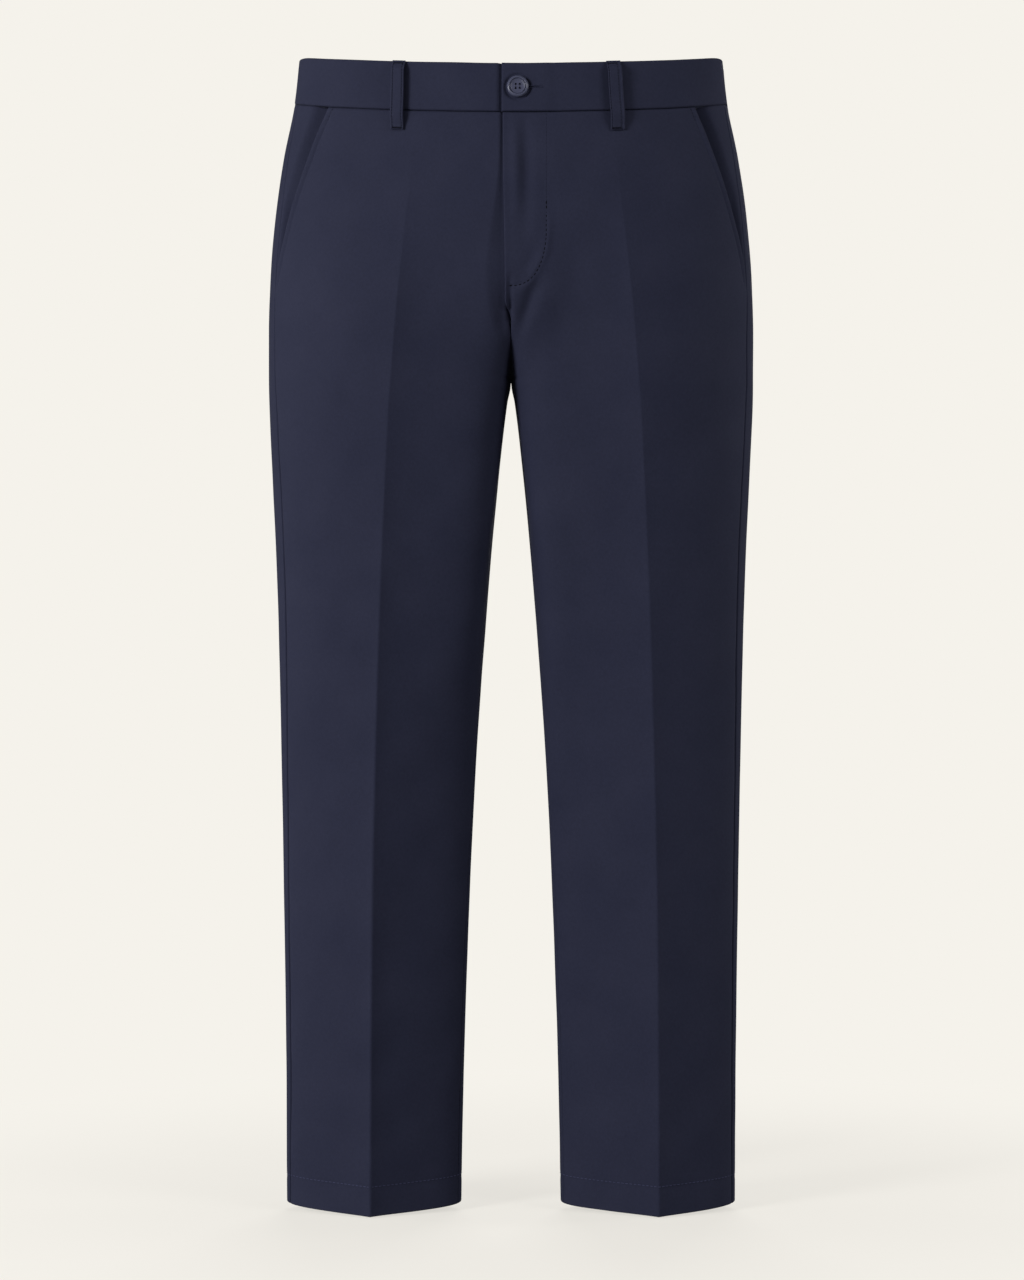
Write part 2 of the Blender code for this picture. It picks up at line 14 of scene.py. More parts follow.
import bmesh
import bpy
import numpy as np
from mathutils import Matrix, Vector


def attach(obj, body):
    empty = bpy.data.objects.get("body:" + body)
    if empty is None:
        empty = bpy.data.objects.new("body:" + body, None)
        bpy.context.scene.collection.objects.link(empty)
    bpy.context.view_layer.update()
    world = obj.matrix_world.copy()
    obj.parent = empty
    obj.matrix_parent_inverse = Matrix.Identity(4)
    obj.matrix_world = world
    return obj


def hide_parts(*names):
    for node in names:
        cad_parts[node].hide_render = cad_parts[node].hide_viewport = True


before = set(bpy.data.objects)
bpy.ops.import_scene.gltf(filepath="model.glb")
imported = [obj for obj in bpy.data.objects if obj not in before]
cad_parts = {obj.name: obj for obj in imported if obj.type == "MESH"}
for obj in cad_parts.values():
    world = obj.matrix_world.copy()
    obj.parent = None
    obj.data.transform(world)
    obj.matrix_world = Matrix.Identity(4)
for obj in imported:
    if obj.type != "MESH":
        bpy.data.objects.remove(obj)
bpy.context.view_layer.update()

# ------------------------------------------------------------------ sizes, as in the part

OUTSEAM = 1.0515
BAND_HEIGHT = 0.043
BAND_FOOT = OUTSEAM - BAND_HEIGHT
WAIST_LEVEL = OUTSEAM - BAND_HEIGHT / 2
CLOTH = 0.0012
HEM_CLOTH = 0.0020
HEM_DEPTH = 0.030
BAND_CLOTH = 0.0030
LOOP_CLOTH = 0.0018
SEAM_GAP = 0.0003
SEWN_GAP = 0.00001       # half the gap between sewn edges
CROTCH_HEIGHT = 0.752
WAIST_DIP = 0.021
WAIST_DIP_BOW = 1.25     # how the dip deepens toward the middle of the front
WAIST_LIFT = 0.005
HEM_DIP = 0.006
HEM_DIP_REACH = 0.100
WAIST_DIP_START = 0.80
CORNER_DIP = 0.0024      # the band's top edge rounds down at the sides
CORNER_REACH = 0.16
CREASE_SWAY = 0.0032
POCKET_SET = 0.046
POCKET_FOOT = 0.836
FACING_REACH = 0.022
FACING_FOOT = 0.815
FACING_SINK = 0.0018
FACING_RISE = 0.18
FLY_LAP = 0.0074
FLY_LAP_FOOT = 0.0055
LAP_EDGE = 0.083         # around to which the right front lies at its lowest under the fly
LAP_CLEAR = (0.240, 0.125)  # and to which it comes up again, at the fly's foot and at its top
LAP_SINK = (0.0034, 0.0018)  # how low it lies there
LAP_SPAN = (0.840, 0.970)  # heights of that foot and top
LAP_HEIGHTS = (0.803, 0.820)  # heights over which the fly's lap begins
LAP_DIP_START = 0.785
BAND_PROUD = 0.0003
BAND_LAP = 0.0085        # how far past the centre the band's left end reaches
BAND_UNDERLAP = 0.33     # around to which its right end reaches beneath, on the other half
BAND_LEVEL = 0.45
BAND_DIP = (0.094, 0.150)  # around from which the band's right end comes up, and to which
BAND_LAP_PROUD = 0.0012
LOOP_WIDTH = 0.012
LOOP_TOP = OUTSEAM
LOOP_FOOT = BAND_FOOT - 0.0185
LOOP_SEAT = 0.0005
LOOP_ROOM = {"front": 0.0042, "other": 0.0012}  # how far the loops stand off the band
BUTTON_RADIUS = 0.0098
BUTTON_THICK = 0.0034
BUTTON_PLACE = 0.0060
SLIT_START = 0.0035
SLIT_END = 0.0255

COLUMNS = ("height", "outer", "inner", "crease", "front", "side", "back", "inside",
           "ridge", "turn", "flat", "round", "press", "seam", "inseam",
           "front_flat", "front_press")
SECTIONS = (
    (0.000, .2062, .0457, .1307, -.0500, .0030, .0520, .0010, 24, 0, .60, .36, .36, .010, .009, .60, .36),
    (0.110, .2068, .0436, .1302, -.0510, .0035, .0540, .0010, 24, 0, .60, .36, .36, .012, .009, .60, .36),
    (0.260, .2088, .0388, .1290, -.0530, .0050, .0575, .0020, 23, 0, .59, .38, .38, .014, .009, .60, .38),
    (0.400, .2114, .0323, .1262, -.0560, .0070, .0620, .0030, 20, 0, .58, .42, .43, .018, .008, .62, .46),
    (0.550, .2151, .0217, .1215, -.0640, .0110, .0760, .0050, 15, 0, .57, .48, .52, .027, .006, .76, .84),
    (0.660, .2199, .0119, .1165, -.0760, .0140, .0940, .0080, 12, 0, .56, .52, .62, .034, .004, .86, 1.04),
    (0.735, .2233, .0033, .1123, -.0860, .0150, .1080, .0100, 10, 0, .55, .54, .70, .037, .001, .88, 1.08),
    (0.752, .2236, .0002, .1108, -.0878, .0150, .1110, .0100, 10, 0, .55, .55, .72, .037, .000, .88, 1.08),
    (0.800, .2237, .0000, .1070, -.0920, .0150, .1170, .0100, 9, 0, .55, .55, .72, .038, .000, .88, 1.08),
    (0.847, .2222, .0000, .1025, -.0945, .0140, .1200, .0100, 7, 3, .55, .55, .72, .037, .000, .78, .98),
    (0.900, .2178, .0000, .0975, -.0930, .0110, .1160, .0100, 4, 9, .55, .55, .72, .034, .000, .60, .74),
    (0.958, .2094, .0000, .0920, -.0875, .0070, .1020, .0100, 2, 12, .55, .55, .72, .028, .000, .55, .72),
    (1.010, .1988, .0000, .0880, -.0815, .0040, .0880, .0100, 0, 13, .55, .55, .72, .022, .000, .55, .72),
    (1.050, .1945, .0000, .0860, -.0775, .0030, .0840, .0100, 0, 13, .55, .55, .72, .021, .000, .55, .72),
)
CENTRE_COLUMNS = ("height", "front", "back")
CENTRE = (
    (0.752, -.0960, .1190),
    (0.860, -.0985, .1215),
    (0.900, -.0988, .1215),
    (0.958, -.0975, .1130),
    (1.010, -.0920, .0980),
    (1.050, -.0880, .0935),
)
BODY_HOLD = 0.35
FORK_SLOPE = 0.20
FORK_SPREAD = 4.0
BLEND = {"front": (0.765, 0.860), "back": (0.765, 0.930)}


class Curve:
    """A smooth curve through a table's values, with no bumps between them."""

    def __init__(self, heights, values):
        spans = list(zip(heights, heights[1:], values, values[1:]))
        rises = [(high - low) / (top - foot) for foot, top, low, high in spans]
        inner = [2 * a * b / (a + b) if a * b > 0 else 0.0 for a, b in zip(rises, rises[1:])]
        self.heights = heights
        self.values = values
        self.slopes = [rises[0], *inner, rises[-1]]

    def __call__(self, height):
        last = len(self.heights) - 2
        k = min(max(bisect_right(self.heights, height) - 1, 0), last)
        span = self.heights[k + 1] - self.heights[k]
        t = (height - self.heights[k]) / span
        rise = self.values[k + 1] - self.values[k]
        start = self.slopes[k] * span
        end = self.slopes[k + 1] * span
        return self.values[k] + t * (start + t * (3 * rise - 2 * start - end
                                                  + t * (start + end - 2 * rise)))


def curves(names, rows):
    columns = list(zip(*rows))
    return {name: Curve(columns[0], column) for name, column in zip(names[1:], columns[1:])}


SHAPE = curves(COLUMNS, SECTIONS)
CENTRE_LINE = curves(CENTRE_COLUMNS, CENTRE)


def ramp(value, start, end):
    """0 at start and 1 at end, with a soft beginning and end."""
    t = np.clip((value - start) / (end - start), 0.0, 1.0)
    return t * t * (3 - 2 * t)


def bell(distance, reach):
    """1 at a distance of 0, falling away to both sides."""
    return np.exp(-(distance / reach) ** 2)


def cubic(points, t):
    r = 1 - t
    return r ** 3 * points[0] + 3 * r * r * t * points[1] + 3 * r * t * t * points[2] + t ** 3 * points[3]


def rest_of_curve(points, t):
    """The part of a cubic curve after t."""
    tails = [points[3]]
    while len(points) > 1:
        points = [low + (high - low) * t for low, high in zip(points, points[1:])]
        tails.append(points[-1])
    return tails[::-1]


def last_place(before, low, high, halvings):
    """The furthest place between low and high at which before still holds."""
    for _ in range(halvings):
        middle = (low + high) / 2
        if before(middle):
            low = middle
        else:
            high = middle
    return low


def across_centre(points):
    """t at which a cubic curve that starts past the centre comes back to x = 0."""
    xs = [point[0] for point in points]
    return last_place(lambda t: cubic(xs, t) < 0, 0.0, 1.0, 40)


def unit(vectors):
    return vectors / np.linalg.norm(vectors, axis=1)[:, None]


def run_along(points):
    """Distance of each point from the first, along the line they make."""
    return np.concatenate(([0.0], np.cumsum(np.linalg.norm(np.diff(points, axis=0), axis=1))))


def sizes_at(height):
    return {name: curve(height) for name, curve in SHAPE.items()}


@lru_cache(maxsize=None)
def inner_quarter(side, height, which):
    """The curve from the inner leg, or from the centre seam, to the front or back crease."""
    at = sizes_at(height)
    toward = np.array((0.0, -1.0 if which == "front" else 1.0))
    if which == "front":
        at["flat"], at["press"] = at["front_flat"], at["front_press"]
    lean = radians(at["turn"] - at["ridge"])
    arriving = np.array((cos(lean), 0.0)) - sin(lean) * toward
    crease = np.array((at["crease"] + side * CREASE_SWAY, at[which]))
    above = height - CROTCH_HEIGHT
    inner = max(at["inner"], SEWN_GAP) if above < 0 else -above * (FORK_SLOPE + FORK_SPREAD * above)
    start = np.array((inner, at["inside"]))
    leg = [start, start + at["press"] * abs(crease[1] - start[1]) * toward,
           crease - at["flat"] * (crease[0] - start[0]) * arriving, crease]
    if above < 0:
        return leg
    leg = rest_of_curve(leg, across_centre(leg))
    level = np.array((0.0, CENTRE_LINE[which](height)))
    hold = BODY_HOLD * crease[0]
    body = [level, level + np.array((hold, 0.0)), crease - hold * arriving, crease]
    share = ramp(height, *BLEND[which])
    mixed = [low + (high - low) * share for low, high in zip(leg, body)]
    apart = np.array((SEWN_GAP * sin(opening_angle(mixed)), 0.0))
    return [mixed[0] + apart, mixed[1] + apart, mixed[2], mixed[3]]


def opening_angle(points):
    """Angle at which a curve leaves the centre: 0 level, 90 degrees where the legs part."""
    leave = points[1] - points[0]
    return atan2(abs(leave[1]), leave[0])


@lru_cache(maxsize=None)
def section(side, height):
    """The control points of a level section's four cubic curves, centre front to back."""
    at = sizes_at(height)
    edge = np.array((at["outer"], at["side"]))
    lean = radians(at["turn"] + at["ridge"])
    front, back = (inner_quarter(side, height, which) for which in ("front", "back"))
    outer = []
    for crease, way in ((front[3], -1.0), (back[3], 1.0)):
        toward = np.array((0.0, way))
        leaving = np.array((cos(lean), 0.0)) - sin(lean) * toward
        outer.append((crease, crease + at["flat"] * (edge[0] - crease[0]) * leaving,
                      edge + at["round"] * abs(edge[1] - crease[1]) * toward, edge))
    return np.array((front, outer[0], outer[1][::-1], back[::-1]))


def level(side, around, height):
    """Points of the outer face at one height. Past the centre they run on over the other half."""
    around = np.atleast_1d(np.asarray(around, float))
    sides = np.full(around.shape, side)
    if height < CROTCH_HEIGHT:
        around = np.where(around == 4, 4.0, around % 4)
    else:
        beyond = (around < 0) | (around > 4)
        sides = np.where(beyond, -side, sides)
        around = np.where(around < 0, -around, np.where(around > 4, 8 - around, around))
    quarter = np.minimum(around.astype(int), 3)
    t = (around - quarter)[:, None]
    points = np.empty((len(around), 3))
    for half in (1, -1):
        mine = sides == half
        if mine.any():
            held = section(half, height)[quarter[mine]]
            points[mine, :2] = cubic([held[:, k] for k in range(4)], t[mine])
            points[mine, 0] *= half
    y = points[:, 1]
    front = WAIST_DIP * np.maximum(y / CENTRE_LINE["front"](BAND_FOOT), 0) ** WAIST_DIP_BOW
    back = -WAIST_LIFT * y / CENTRE_LINE["back"](BAND_FOOT)
    drop = np.where(y < 0, front, back) * ramp(height, WAIST_DIP_START, BAND_FOOT)
    drop = drop + HEM_DIP * (1 - abs(around % 2 - 1)) * (1 - ramp(height, 0.0, HEM_DIP_REACH))
    corner = bell(around - 2, CORNER_REACH) * ramp(height, BAND_FOOT, OUTSEAM)
    points[:, 2] = height - drop - CORNER_DIP * corner - WAIST_LEVEL
    return points


def outward(side, around, height):
    """Unit normals there, and on a crease the middle one of its two faces."""
    nudge = 0.0005
    around = np.atleast_1d(np.asarray(around, float))
    here = level(side, around, height)
    up = level(side, around, height + nudge) - level(side, around, height - nudge)
    total = np.zeros_like(here)
    for lean in (-nudge, nudge):
        past = around + lean
        across = (level(side, past, height) - here) * (side if lean > 0 else -side)
        normal = unit(np.cross(across, up))
        if height >= CROTCH_HEIGHT:
            crossed = ((past < 0) & (around >= 0)) | ((past >= 0) & (around < 0))
            crossed |= ((past > 4) & (around <= 4)) | ((past <= 4) & (around > 4))
            normal[crossed] = 0
        total += normal
    return unit(total)


def along(side, around, height, distance):
    """The place a distance further round the section, measured on the cloth."""
    steps = 12
    nudge = 0.001
    for _ in range(steps):
        behind, ahead = level(side, (around - nudge, around + nudge), height)
        around += distance / steps * 2 * nudge / np.linalg.norm(ahead - behind)
    return around


def around_at(side, x, height):
    """around where the front is a distance x out from the centre, above the fork."""
    beyond = -1 if x < 0 else 1
    return beyond * last_place(
        lambda place: abs(level(side, beyond * place, height)[0, 0]) < abs(x), 0.0, 2.0, 30)


def side_seam(side, height):
    return along(side, 2.0, height, -SHAPE["seam"](height))


def mouth_set(height):
    """How far in from the side seam the pocket's mouth lies."""
    return POCKET_SET * max(0.0, (height - POCKET_FOOT) / (BAND_FOOT - POCKET_FOOT))


def pocket_mouth(side, height, past=0.0):
    """around of the pocket's mouth, or of what lies a distance past it toward the side seam."""
    mouth = along(side, side_seam(side, height), height, -mouth_set(height))
    return along(side, mouth, height, past) if past else mouth


def points_at(places):
    """Points of the form at (side, around, height) places."""
    return np.vstack([level(*place) for place in places])


# ------------------------------------------------------------------ lines of stitching

POCKET_STITCH = 0.0055   # how far in from the pocket's mouth it runs
POCKET_STITCH_FOOT = POCKET_FOOT + 0.006
FLY_STITCH = 0.0315      # how far from the centre front the fly's stitching runs
FLY_STITCH_TURN = 0.893  # height where it starts to curve in
FLY_STITCH_FOOT = 0.833
FLY_STITCH_END = -0.002  # x at its foot, past the centre
FLY_STITCH_BOW = (0.75, 0.9)  # how round its curve is, across and up
LOOP_STITCH = 0.0018     # in from each edge of a loop
HEM_STITCH = 0.0262


def evenly(start, end, count):
    return list(np.linspace(start, end, count + 1))


def pocket_line(side, height, inset=POCKET_STITCH):
    return side, pocket_mouth(side, height, -inset), height


def fly_line(count):
    """Places of the fly's stitching: straight down, then curving in to the edge."""
    spots = [(FLY_STITCH, height) for height in evenly(BAND_FOOT - 0.001, FLY_STITCH_TURN, count)]
    for turn in evenly(0, pi / 2, count)[1:]:
        across = cos(turn) ** FLY_STITCH_BOW[0]
        down = sin(turn) ** FLY_STITCH_BOW[1]
        spots.append((FLY_STITCH_END + (FLY_STITCH - FLY_STITCH_END) * across,
                      FLY_STITCH_TURN - (FLY_STITCH_TURN - FLY_STITCH_FOOT) * down))
    return [(1, around_at(1, x, height), height) for x, height in spots]


FLY_LINE = fly_line(16)
FLY_STRAIGHT = FLY_LINE[:15]
# Along this curve the thread is drawn almost black, as painted shade for the drawn-in stitching.
FLY_CURVE = FLY_LINE[12:]  # where its darker thread shows


# ------------------------------------------------------------------ folds

# Each fold is a soft trough (depth below 0) or ridge along a path on the front: (x out from
# the centre, below 0 on the wearer's right; height) for each point, then how wide it reaches
# and how deep or high it is.
FOLDS = (
    (((.0035, 1.002), (.0045, .965), (.0050, .905)), .0056, .0017),
    (((.0120, 1.004), (.0140, .968), (.0145, .910)), .0060, -.0021),
    (((.0190, .995), (.0230, .960), (.0230, .915)), .0120, -.0008),
    (((.0125, .925), (.0130, .895), (.0120, .860)), .0070, -.0010),
    (((.0350, .905), (.0310, .868), (.0170, .837), (.0020, .823)), .0040, .0012),
    (((.0230, .885), (.0180, .860), (.0090, .845)), .0050, -.0009),
    (((.020, .975), (.022, .900), (.021, .860)), .0080, .0005),
    (((.0250, .838), (.0180, .822), (.0120, .805), (.0085, .790)), .0060, -.0034),
    (((-.0012, .842), (-.0010, .810), (-.0008, .762)), .0022, -.0032),
    (((.054, .866), (.057, .846), (.056, .815)), .0110, -.0008),
    (((.034, .830), (.033, .790), (.030, .745)), .0090, .0012),
)
# Folds round the legs: side, then (around, height) for each point.
LEG_FOLDS = (
    (1, ((.30, .850), (.26, .800), (.24, .745), (.25, .690), (.30, .610)), .015, .0018),
    (-1, ((.30, .850), (.24, .800), (.22, .745), (.23, .690), (.30, .590)), .015, .0024),
    (1, ((.44, .820), (.45, .745), (.52, .640)), .016, -.0016),
    (1, ((.38, .740), (.42, .640), (.42, .540), (.40, .420)), .018, .0026),
    (1, ((.55, .480), (.52, .380), (.50, .280)), .020, -.0016),
    (1, ((.56, .190), (.52, .130), (.50, .070)), .018, -.0012),
    (1, ((1.75, .800), (1.60, .760), (1.55, .715)), .016, -.0012),
    (-1, ((1.80, .870), (1.72, .800), (1.70, .720)), .014, .0008),
)


def fold_lines():
    """Every fold as points in space with its reach and depth."""
    lines = []
    for path, *size in FOLDS:
        side = 1 if path[0][0] >= 0 else -1
        places = [(side, around_at(side, abs(x), height), height) for x, height in path]
        lines.append((points_at(places), *size))
    for side, path, *size in LEG_FOLDS:
        lines.append((points_at((side, *place) for place in path), *size))
    return lines


FOLD_LINES = fold_lines()
FOLD_BOW = 0.8           # how round a fold's ends are

GROOVE_REACH = 0.0010    # cloth drawn in along a line of stitching
GROOVE_DEPTH = 0.0004
FLY_GROOVE = 1.2 * GROOVE_DEPTH


def groove_lines():
    """Points along the stitching of the pockets and the fly, and how deep it draws in."""
    heights = evenly(POCKET_STITCH_FOOT, BAND_FOOT, 30)
    left, right = (points_at(pocket_line(side, height) for height in heights) for side in (1, -1))
    return (left, GROOVE_DEPTH), (right, GROOVE_DEPTH), (points_at(FLY_LINE[14:]), FLY_GROOVE)


GROOVE_LINES = groove_lines()

CREASE_RISE = 0.0017     # how far the pressed creases stand proud
CREASE_REACH = 0.009
CREASE_SOFT = 0.0008
CREASE_FADES = ((0.45, 0.80), (0.86, 0.98))  # heights over which each half of it fades


def crease_lines():
    """Points along the four pressed creases, and how proud each stands there."""
    heights = np.linspace(-0.02, BAND_FOOT, 60)
    first, second = (0.5 * ramp(heights, *fade) for fade in CREASE_FADES)
    strength = CREASE_RISE * (1 - first - second)
    return [(points_at((side, around, height) for height in heights), strength)
            for side in (1, -1) for around in (1.0, 3.0)]


CREASE_LINES = crease_lines()

RIPPLES_MADE = 18
RIPPLE_LENGTH = (0.030, 0.085)
RIPPLE_RISE = 0.0020     # height of each ripple as a share of its length
RIPPLE_SIDES = 0.85      # how much weaker they are on the sides of the legs, which hang straighter


def unevenness():
    """Slow ripples of pressed cloth: direction, phase and height of each."""
    draw = np.random.default_rng(11)
    waves = []
    for _ in range(RIPPLES_MADE):
        direction = draw.normal(size=3)
        direction /= np.linalg.norm(direction)
        length = draw.uniform(*RIPPLE_LENGTH)
        waves.append((direction * 2 * pi / length, draw.uniform(0, 2 * pi), RIPPLE_RISE * length))
    return waves


RIPPLES = unevenness()


def from_line(points, line, margin):
    """Which points are near a line, how far from it, and how far along it as a share."""
    near = np.nonzero((points > line.min(axis=0) - margin).all(axis=1)
                      & (points < line.max(axis=0) + margin).all(axis=1))[0]
    spots = points[near]
    lengths = np.linalg.norm(np.diff(line, axis=0), axis=1)
    begun = np.concatenate(([0.0], np.cumsum(lengths)))
    far = np.full(len(spots), np.inf)
    where = np.zeros(len(spots))
    for a, b, length, start in zip(line, line[1:], lengths, begun):
        t = np.clip((spots - a) @ (b - a) / length ** 2, 0, 1)
        apart = np.linalg.norm(spots - a - t[:, None] * (b - a), axis=1)
        where = np.where(apart < far, (start + t * length) / begun[-1], where)
        far = np.minimum(far, apart)
    return near, far, where


def relief(points, normals):
    """How far the cloth stands off its form at each point, from folds and ripples."""
    flat = points.reshape(-1, 3)
    total = np.zeros(len(flat))
    for turn, phase, rise in RIPPLES:
        total += rise * np.sin(flat @ turn + phase)
    total *= 1 - RIPPLE_SIDES * normals.reshape(-1, 3)[:, 0] ** 2
    for line, strength in CREASE_LINES:
        x, y = (np.interp(flat[:, 2], line[:, 2], line[:, k]) for k in (0, 1))
        apart = np.sqrt((flat[:, 0] - x) ** 2 + (flat[:, 1] - y) ** 2 + CREASE_SOFT ** 2)
        total += np.interp(flat[:, 2], line[:, 2], strength) * np.exp(-apart / CREASE_REACH)
    for line, reach, depth in FOLD_LINES:
        near, far, where = from_line(flat, line, 3 * reach)
        taper = np.sin(pi * (0.04 + 0.92 * where)) ** FOLD_BOW
        total[near] += depth * taper * bell(far, reach)
    for line, depth in GROOVE_LINES:
        near, far, _ = from_line(flat, line, 3 * GROOVE_REACH)
        total[near] -= depth * bell(far, GROOVE_REACH)
    return total.reshape(points.shape[:-1])


CENTRE_HOLD = 0.012      # nearer the centre than this, cloth is moved in or out only level with it


def off_cloth(points, normals):
    """Directions in which the cloth at these points stands off its form."""
    ways = normals.copy()
    ways[..., 0] *= np.clip(np.abs(points[..., 0]) / CENTRE_HOLD, 0, 1)
    return ways


def skin(side, around, height, lift):
    """Points of the finished cloth and their normals, at one height."""
    points = level(side, around, height)
    normals = outward(side, around, height)
    return points + off_cloth(points, normals) * (relief(points, normals) + lift)[:, None], normals


# ------------------------------------------------------------------ making pieces

def in_scene(name, data):
    made = bpy.data.objects.new(name, data)
    bpy.context.scene.collection.objects.link(made)
    return made


def linked(name, mesh, finish, node=None, slot=None):
    """Put a mesh in the scene as a piece with its finish, in place of a CAD node if named."""
    mesh.materials.append(finish)
    piece = in_scene(name, mesh)
    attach(piece, "root")
    if node:
        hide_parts(node)
    return piece


def mesh_of(name, points, faces, uvs=None):
    """A smooth-shaded mesh from arrays of points and of quads or triangles."""
    mesh = bpy.data.meshes.new(name)
    mesh.from_pydata(points.tolist(), [], faces.tolist())
    mesh.shade_smooth()
    if uvs is not None:
        layer = mesh.uv_layers.new(name="weave")
        layer.uv.foreach_set("vector", uvs[faces.ravel()].astype(np.float32).ravel())
    mesh.validate()
    return mesh


# How an edge is finished: how far in it is felt, and how far the face and the back turn.
EDGES = {
    "seam": (0.0019, 0.0017, -0.0009),
    "under": (0.0034, 0.0025, -0.0017),
    "mouth": (0.0014, 0.0008, 0.0003),
    "fold": (0.0011, 0.0006, 0.0005),
    "thick": (0.0016, 0.0012, 0.0012),
    "raw": (0.0005, 0.0002, 0.0),
}


def turned(distance, kind):
    """How far face and back turn toward each other at a distance from such an edge."""
    reach, face, back = EDGES[kind]
    t = np.clip(1 - distance / reach, 0, 1)
    bow = 1 - np.sqrt(1 - t * t)
    return face * bow, back * bow


def shell(name, side, heights, arounds, edges, lift=None, walls=CLOTH, tucked=0):
    """A thin wall of cloth: arounds is a row of places for each height.

    edges names the finish of the start, end, foot and top. lift gives how far the face stands
    off for a row of places, and walls is the thickness, or one for each height. The first and
    last columns that are tucked lie beyond the edges, behind the next piece.
    """
    def each_row(work, *start):
        return np.stack([work(*start, row, height) for row, height in zip(arounds, heights)])

    rows, columns = arounds.shape
    form = each_row(level, side)
    normals = each_row(outward, side)
    rise = relief(form, normals)
    if lift:
        rise = rise + each_row(lift)
    deep = np.broadcast_to(walls, rows)[:, None, None]
    steps = np.linalg.norm(np.diff(form, axis=1), axis=2)
    run = np.concatenate((np.zeros((rows, 1)), np.cumsum(steps, axis=1)), axis=1)
    upward = np.asarray(heights)[:, None] + np.zeros((1, columns))
    run = run - run[:, tucked:tucked + 1]
    ends = run[:, columns - 1 - tucked][:, None]
    apart = (np.maximum(run, 0), np.maximum(ends - run, 0), upward - heights[0], heights[-1] - upward)
    turns = [turned(distance, kind) for distance, kind in zip(apart, edges)]
    face_in, back_in = np.moveaxis(np.array(turns), 1, 0)
    most = np.argmax(face_in, axis=0)[None]
    face_in, back_in = (np.take_along_axis(turn, most, axis=0)[0] for turn in (face_in, back_in))
    ways = off_cloth(form, normals)
    face = form + ways * (rise - face_in)[..., None]
    back = form + ways * (rise + back_in)[..., None] - normals * deep
    index = np.arange(rows * columns).reshape(rows, columns)
    quads = np.stack((index[:-1, :-1], index[:-1, 1:], index[1:, 1:], index[1:, :-1]), axis=-1)
    quads = quads.reshape(-1, 4)
    total = rows * columns
    rim = []
    for line, flip in ((index[0], False), (index[-1], True), (index[:, 0], True), (index[:, -1], False)):
        strip = np.stack((line[:-1], line[:-1] + total, line[1:] + total, line[1:]), axis=-1)
        rim.append(strip[:, ::-1] if flip else strip)
    faces = np.concatenate((quads, quads[:, ::-1] + total, *rim))
    if side < 0:
        faces = faces[:, ::-1]
    middle = run[:, columns // 2][:, None]
    uv = np.stack((side * (run - middle), upward), axis=-1).reshape(-1, 2)
    points = np.concatenate((face.reshape(-1, 3), back.reshape(-1, 3)))
    return mesh_of(name, points, faces, np.concatenate((uv, uv)))


FINE_EDGE = np.array((0, .00035, .0008, .0014, .0023, .0035))
FINE_CREASE = np.array((0, .0006, .0013, .0023, .0037, .0056))
FINE_HEM = np.array((0, .0008, .0018))
FINE_MOUTH = np.array((0, .00035, .0008, .0014, .0023, .0035, .0046, .0051, .0055, .0059, .0064, .0076))
JUST_ONE = np.zeros(1)
LEAST = 1e-9             # stands for 0 where something is divided by it
FINE_ROOM = 1.5          # a span is at least this much longer than its closer columns together


def columns_between(side, height, stops, counts, fine):
    """Places along a level from stop to stop, closer together beside each stop.

    fine holds, for each stop, the distances at which the closer ones stand.
    """
    result = []
    last = len(stops) - 2
    for k, (start, end, count) in enumerate(zip(stops, stops[1:], counts)):
        dense = np.linspace(start, end, 60)
        run = run_along(level(side, dense, height))
        low, high = fine[k], fine[k + 1]
        room = run[-1] / max(low[-1] + high[-1], LEAST) / FINE_ROOM
        if room < 1:
            low, high = low * room, high * room
        middle = np.linspace(low[-1], run[-1] - high[-1], count + 2)[1:-1]
        spots = np.concatenate((low, middle, run[-1] - high[::-1]))
        placed = np.interp(spots, run, dense)
        placed[0], placed[-1] = start, end
        result.append(placed if k == last else placed[:-1])
    return np.concatenate(result)


def grid(side, heights, stops, counts, fine):
    """A row of places for each height, between the stops there."""
    return np.stack([columns_between(side, height, stops(height), counts, fine) for height in heights])


def rows_between(start, end, pitch, low=FINE_EDGE, high=FINE_EDGE):
    count = max(1, round((end - high[-1] - start - low[-1]) / pitch))
    middle = np.linspace(start + low[-1], end - high[-1], count + 1)[1:-1]
    return np.concatenate((start + low, middle, end - high[::-1]))


# ------------------------------------------------------------------ cloth pieces

PANEL_ROWS = np.concatenate((
    rows_between(0.0, HEM_DEPTH, 0.0028, FINE_EDGE, FINE_HEM),
    rows_between(HEM_DEPTH, 0.800, 0.0040, FINE_HEM, JUST_ONE)[1:],
    np.linspace(0.800, 0.905, 71)[1:],
    rows_between(0.905, BAND_FOOT - SEWN_GAP, 0.0030, JUST_ONE)[1:]))
PANEL_WALLS = np.where(PANEL_ROWS <= HEM_DEPTH, HEM_CLOTH, CLOTH)
# How many columns stand between a piece's stops, apart from the closer ones beside them.
FRONT_COLUMNS = (38, 18, 26)
BACK_COLUMNS = (44, 34)
FACING_COLUMNS = (8, 16)
BAND_COLUMNS = (34, 24, 28, 28, 26)
FLY_SIDE = 0.42          # around up to which the front's columns are closer, for the fly's folds
BAND_SIDE = 0.25         # and the band's


def centre_gap(side, height, which):
    return SEWN_GAP * cos(opening_angle(inner_quarter(side, height, which)))


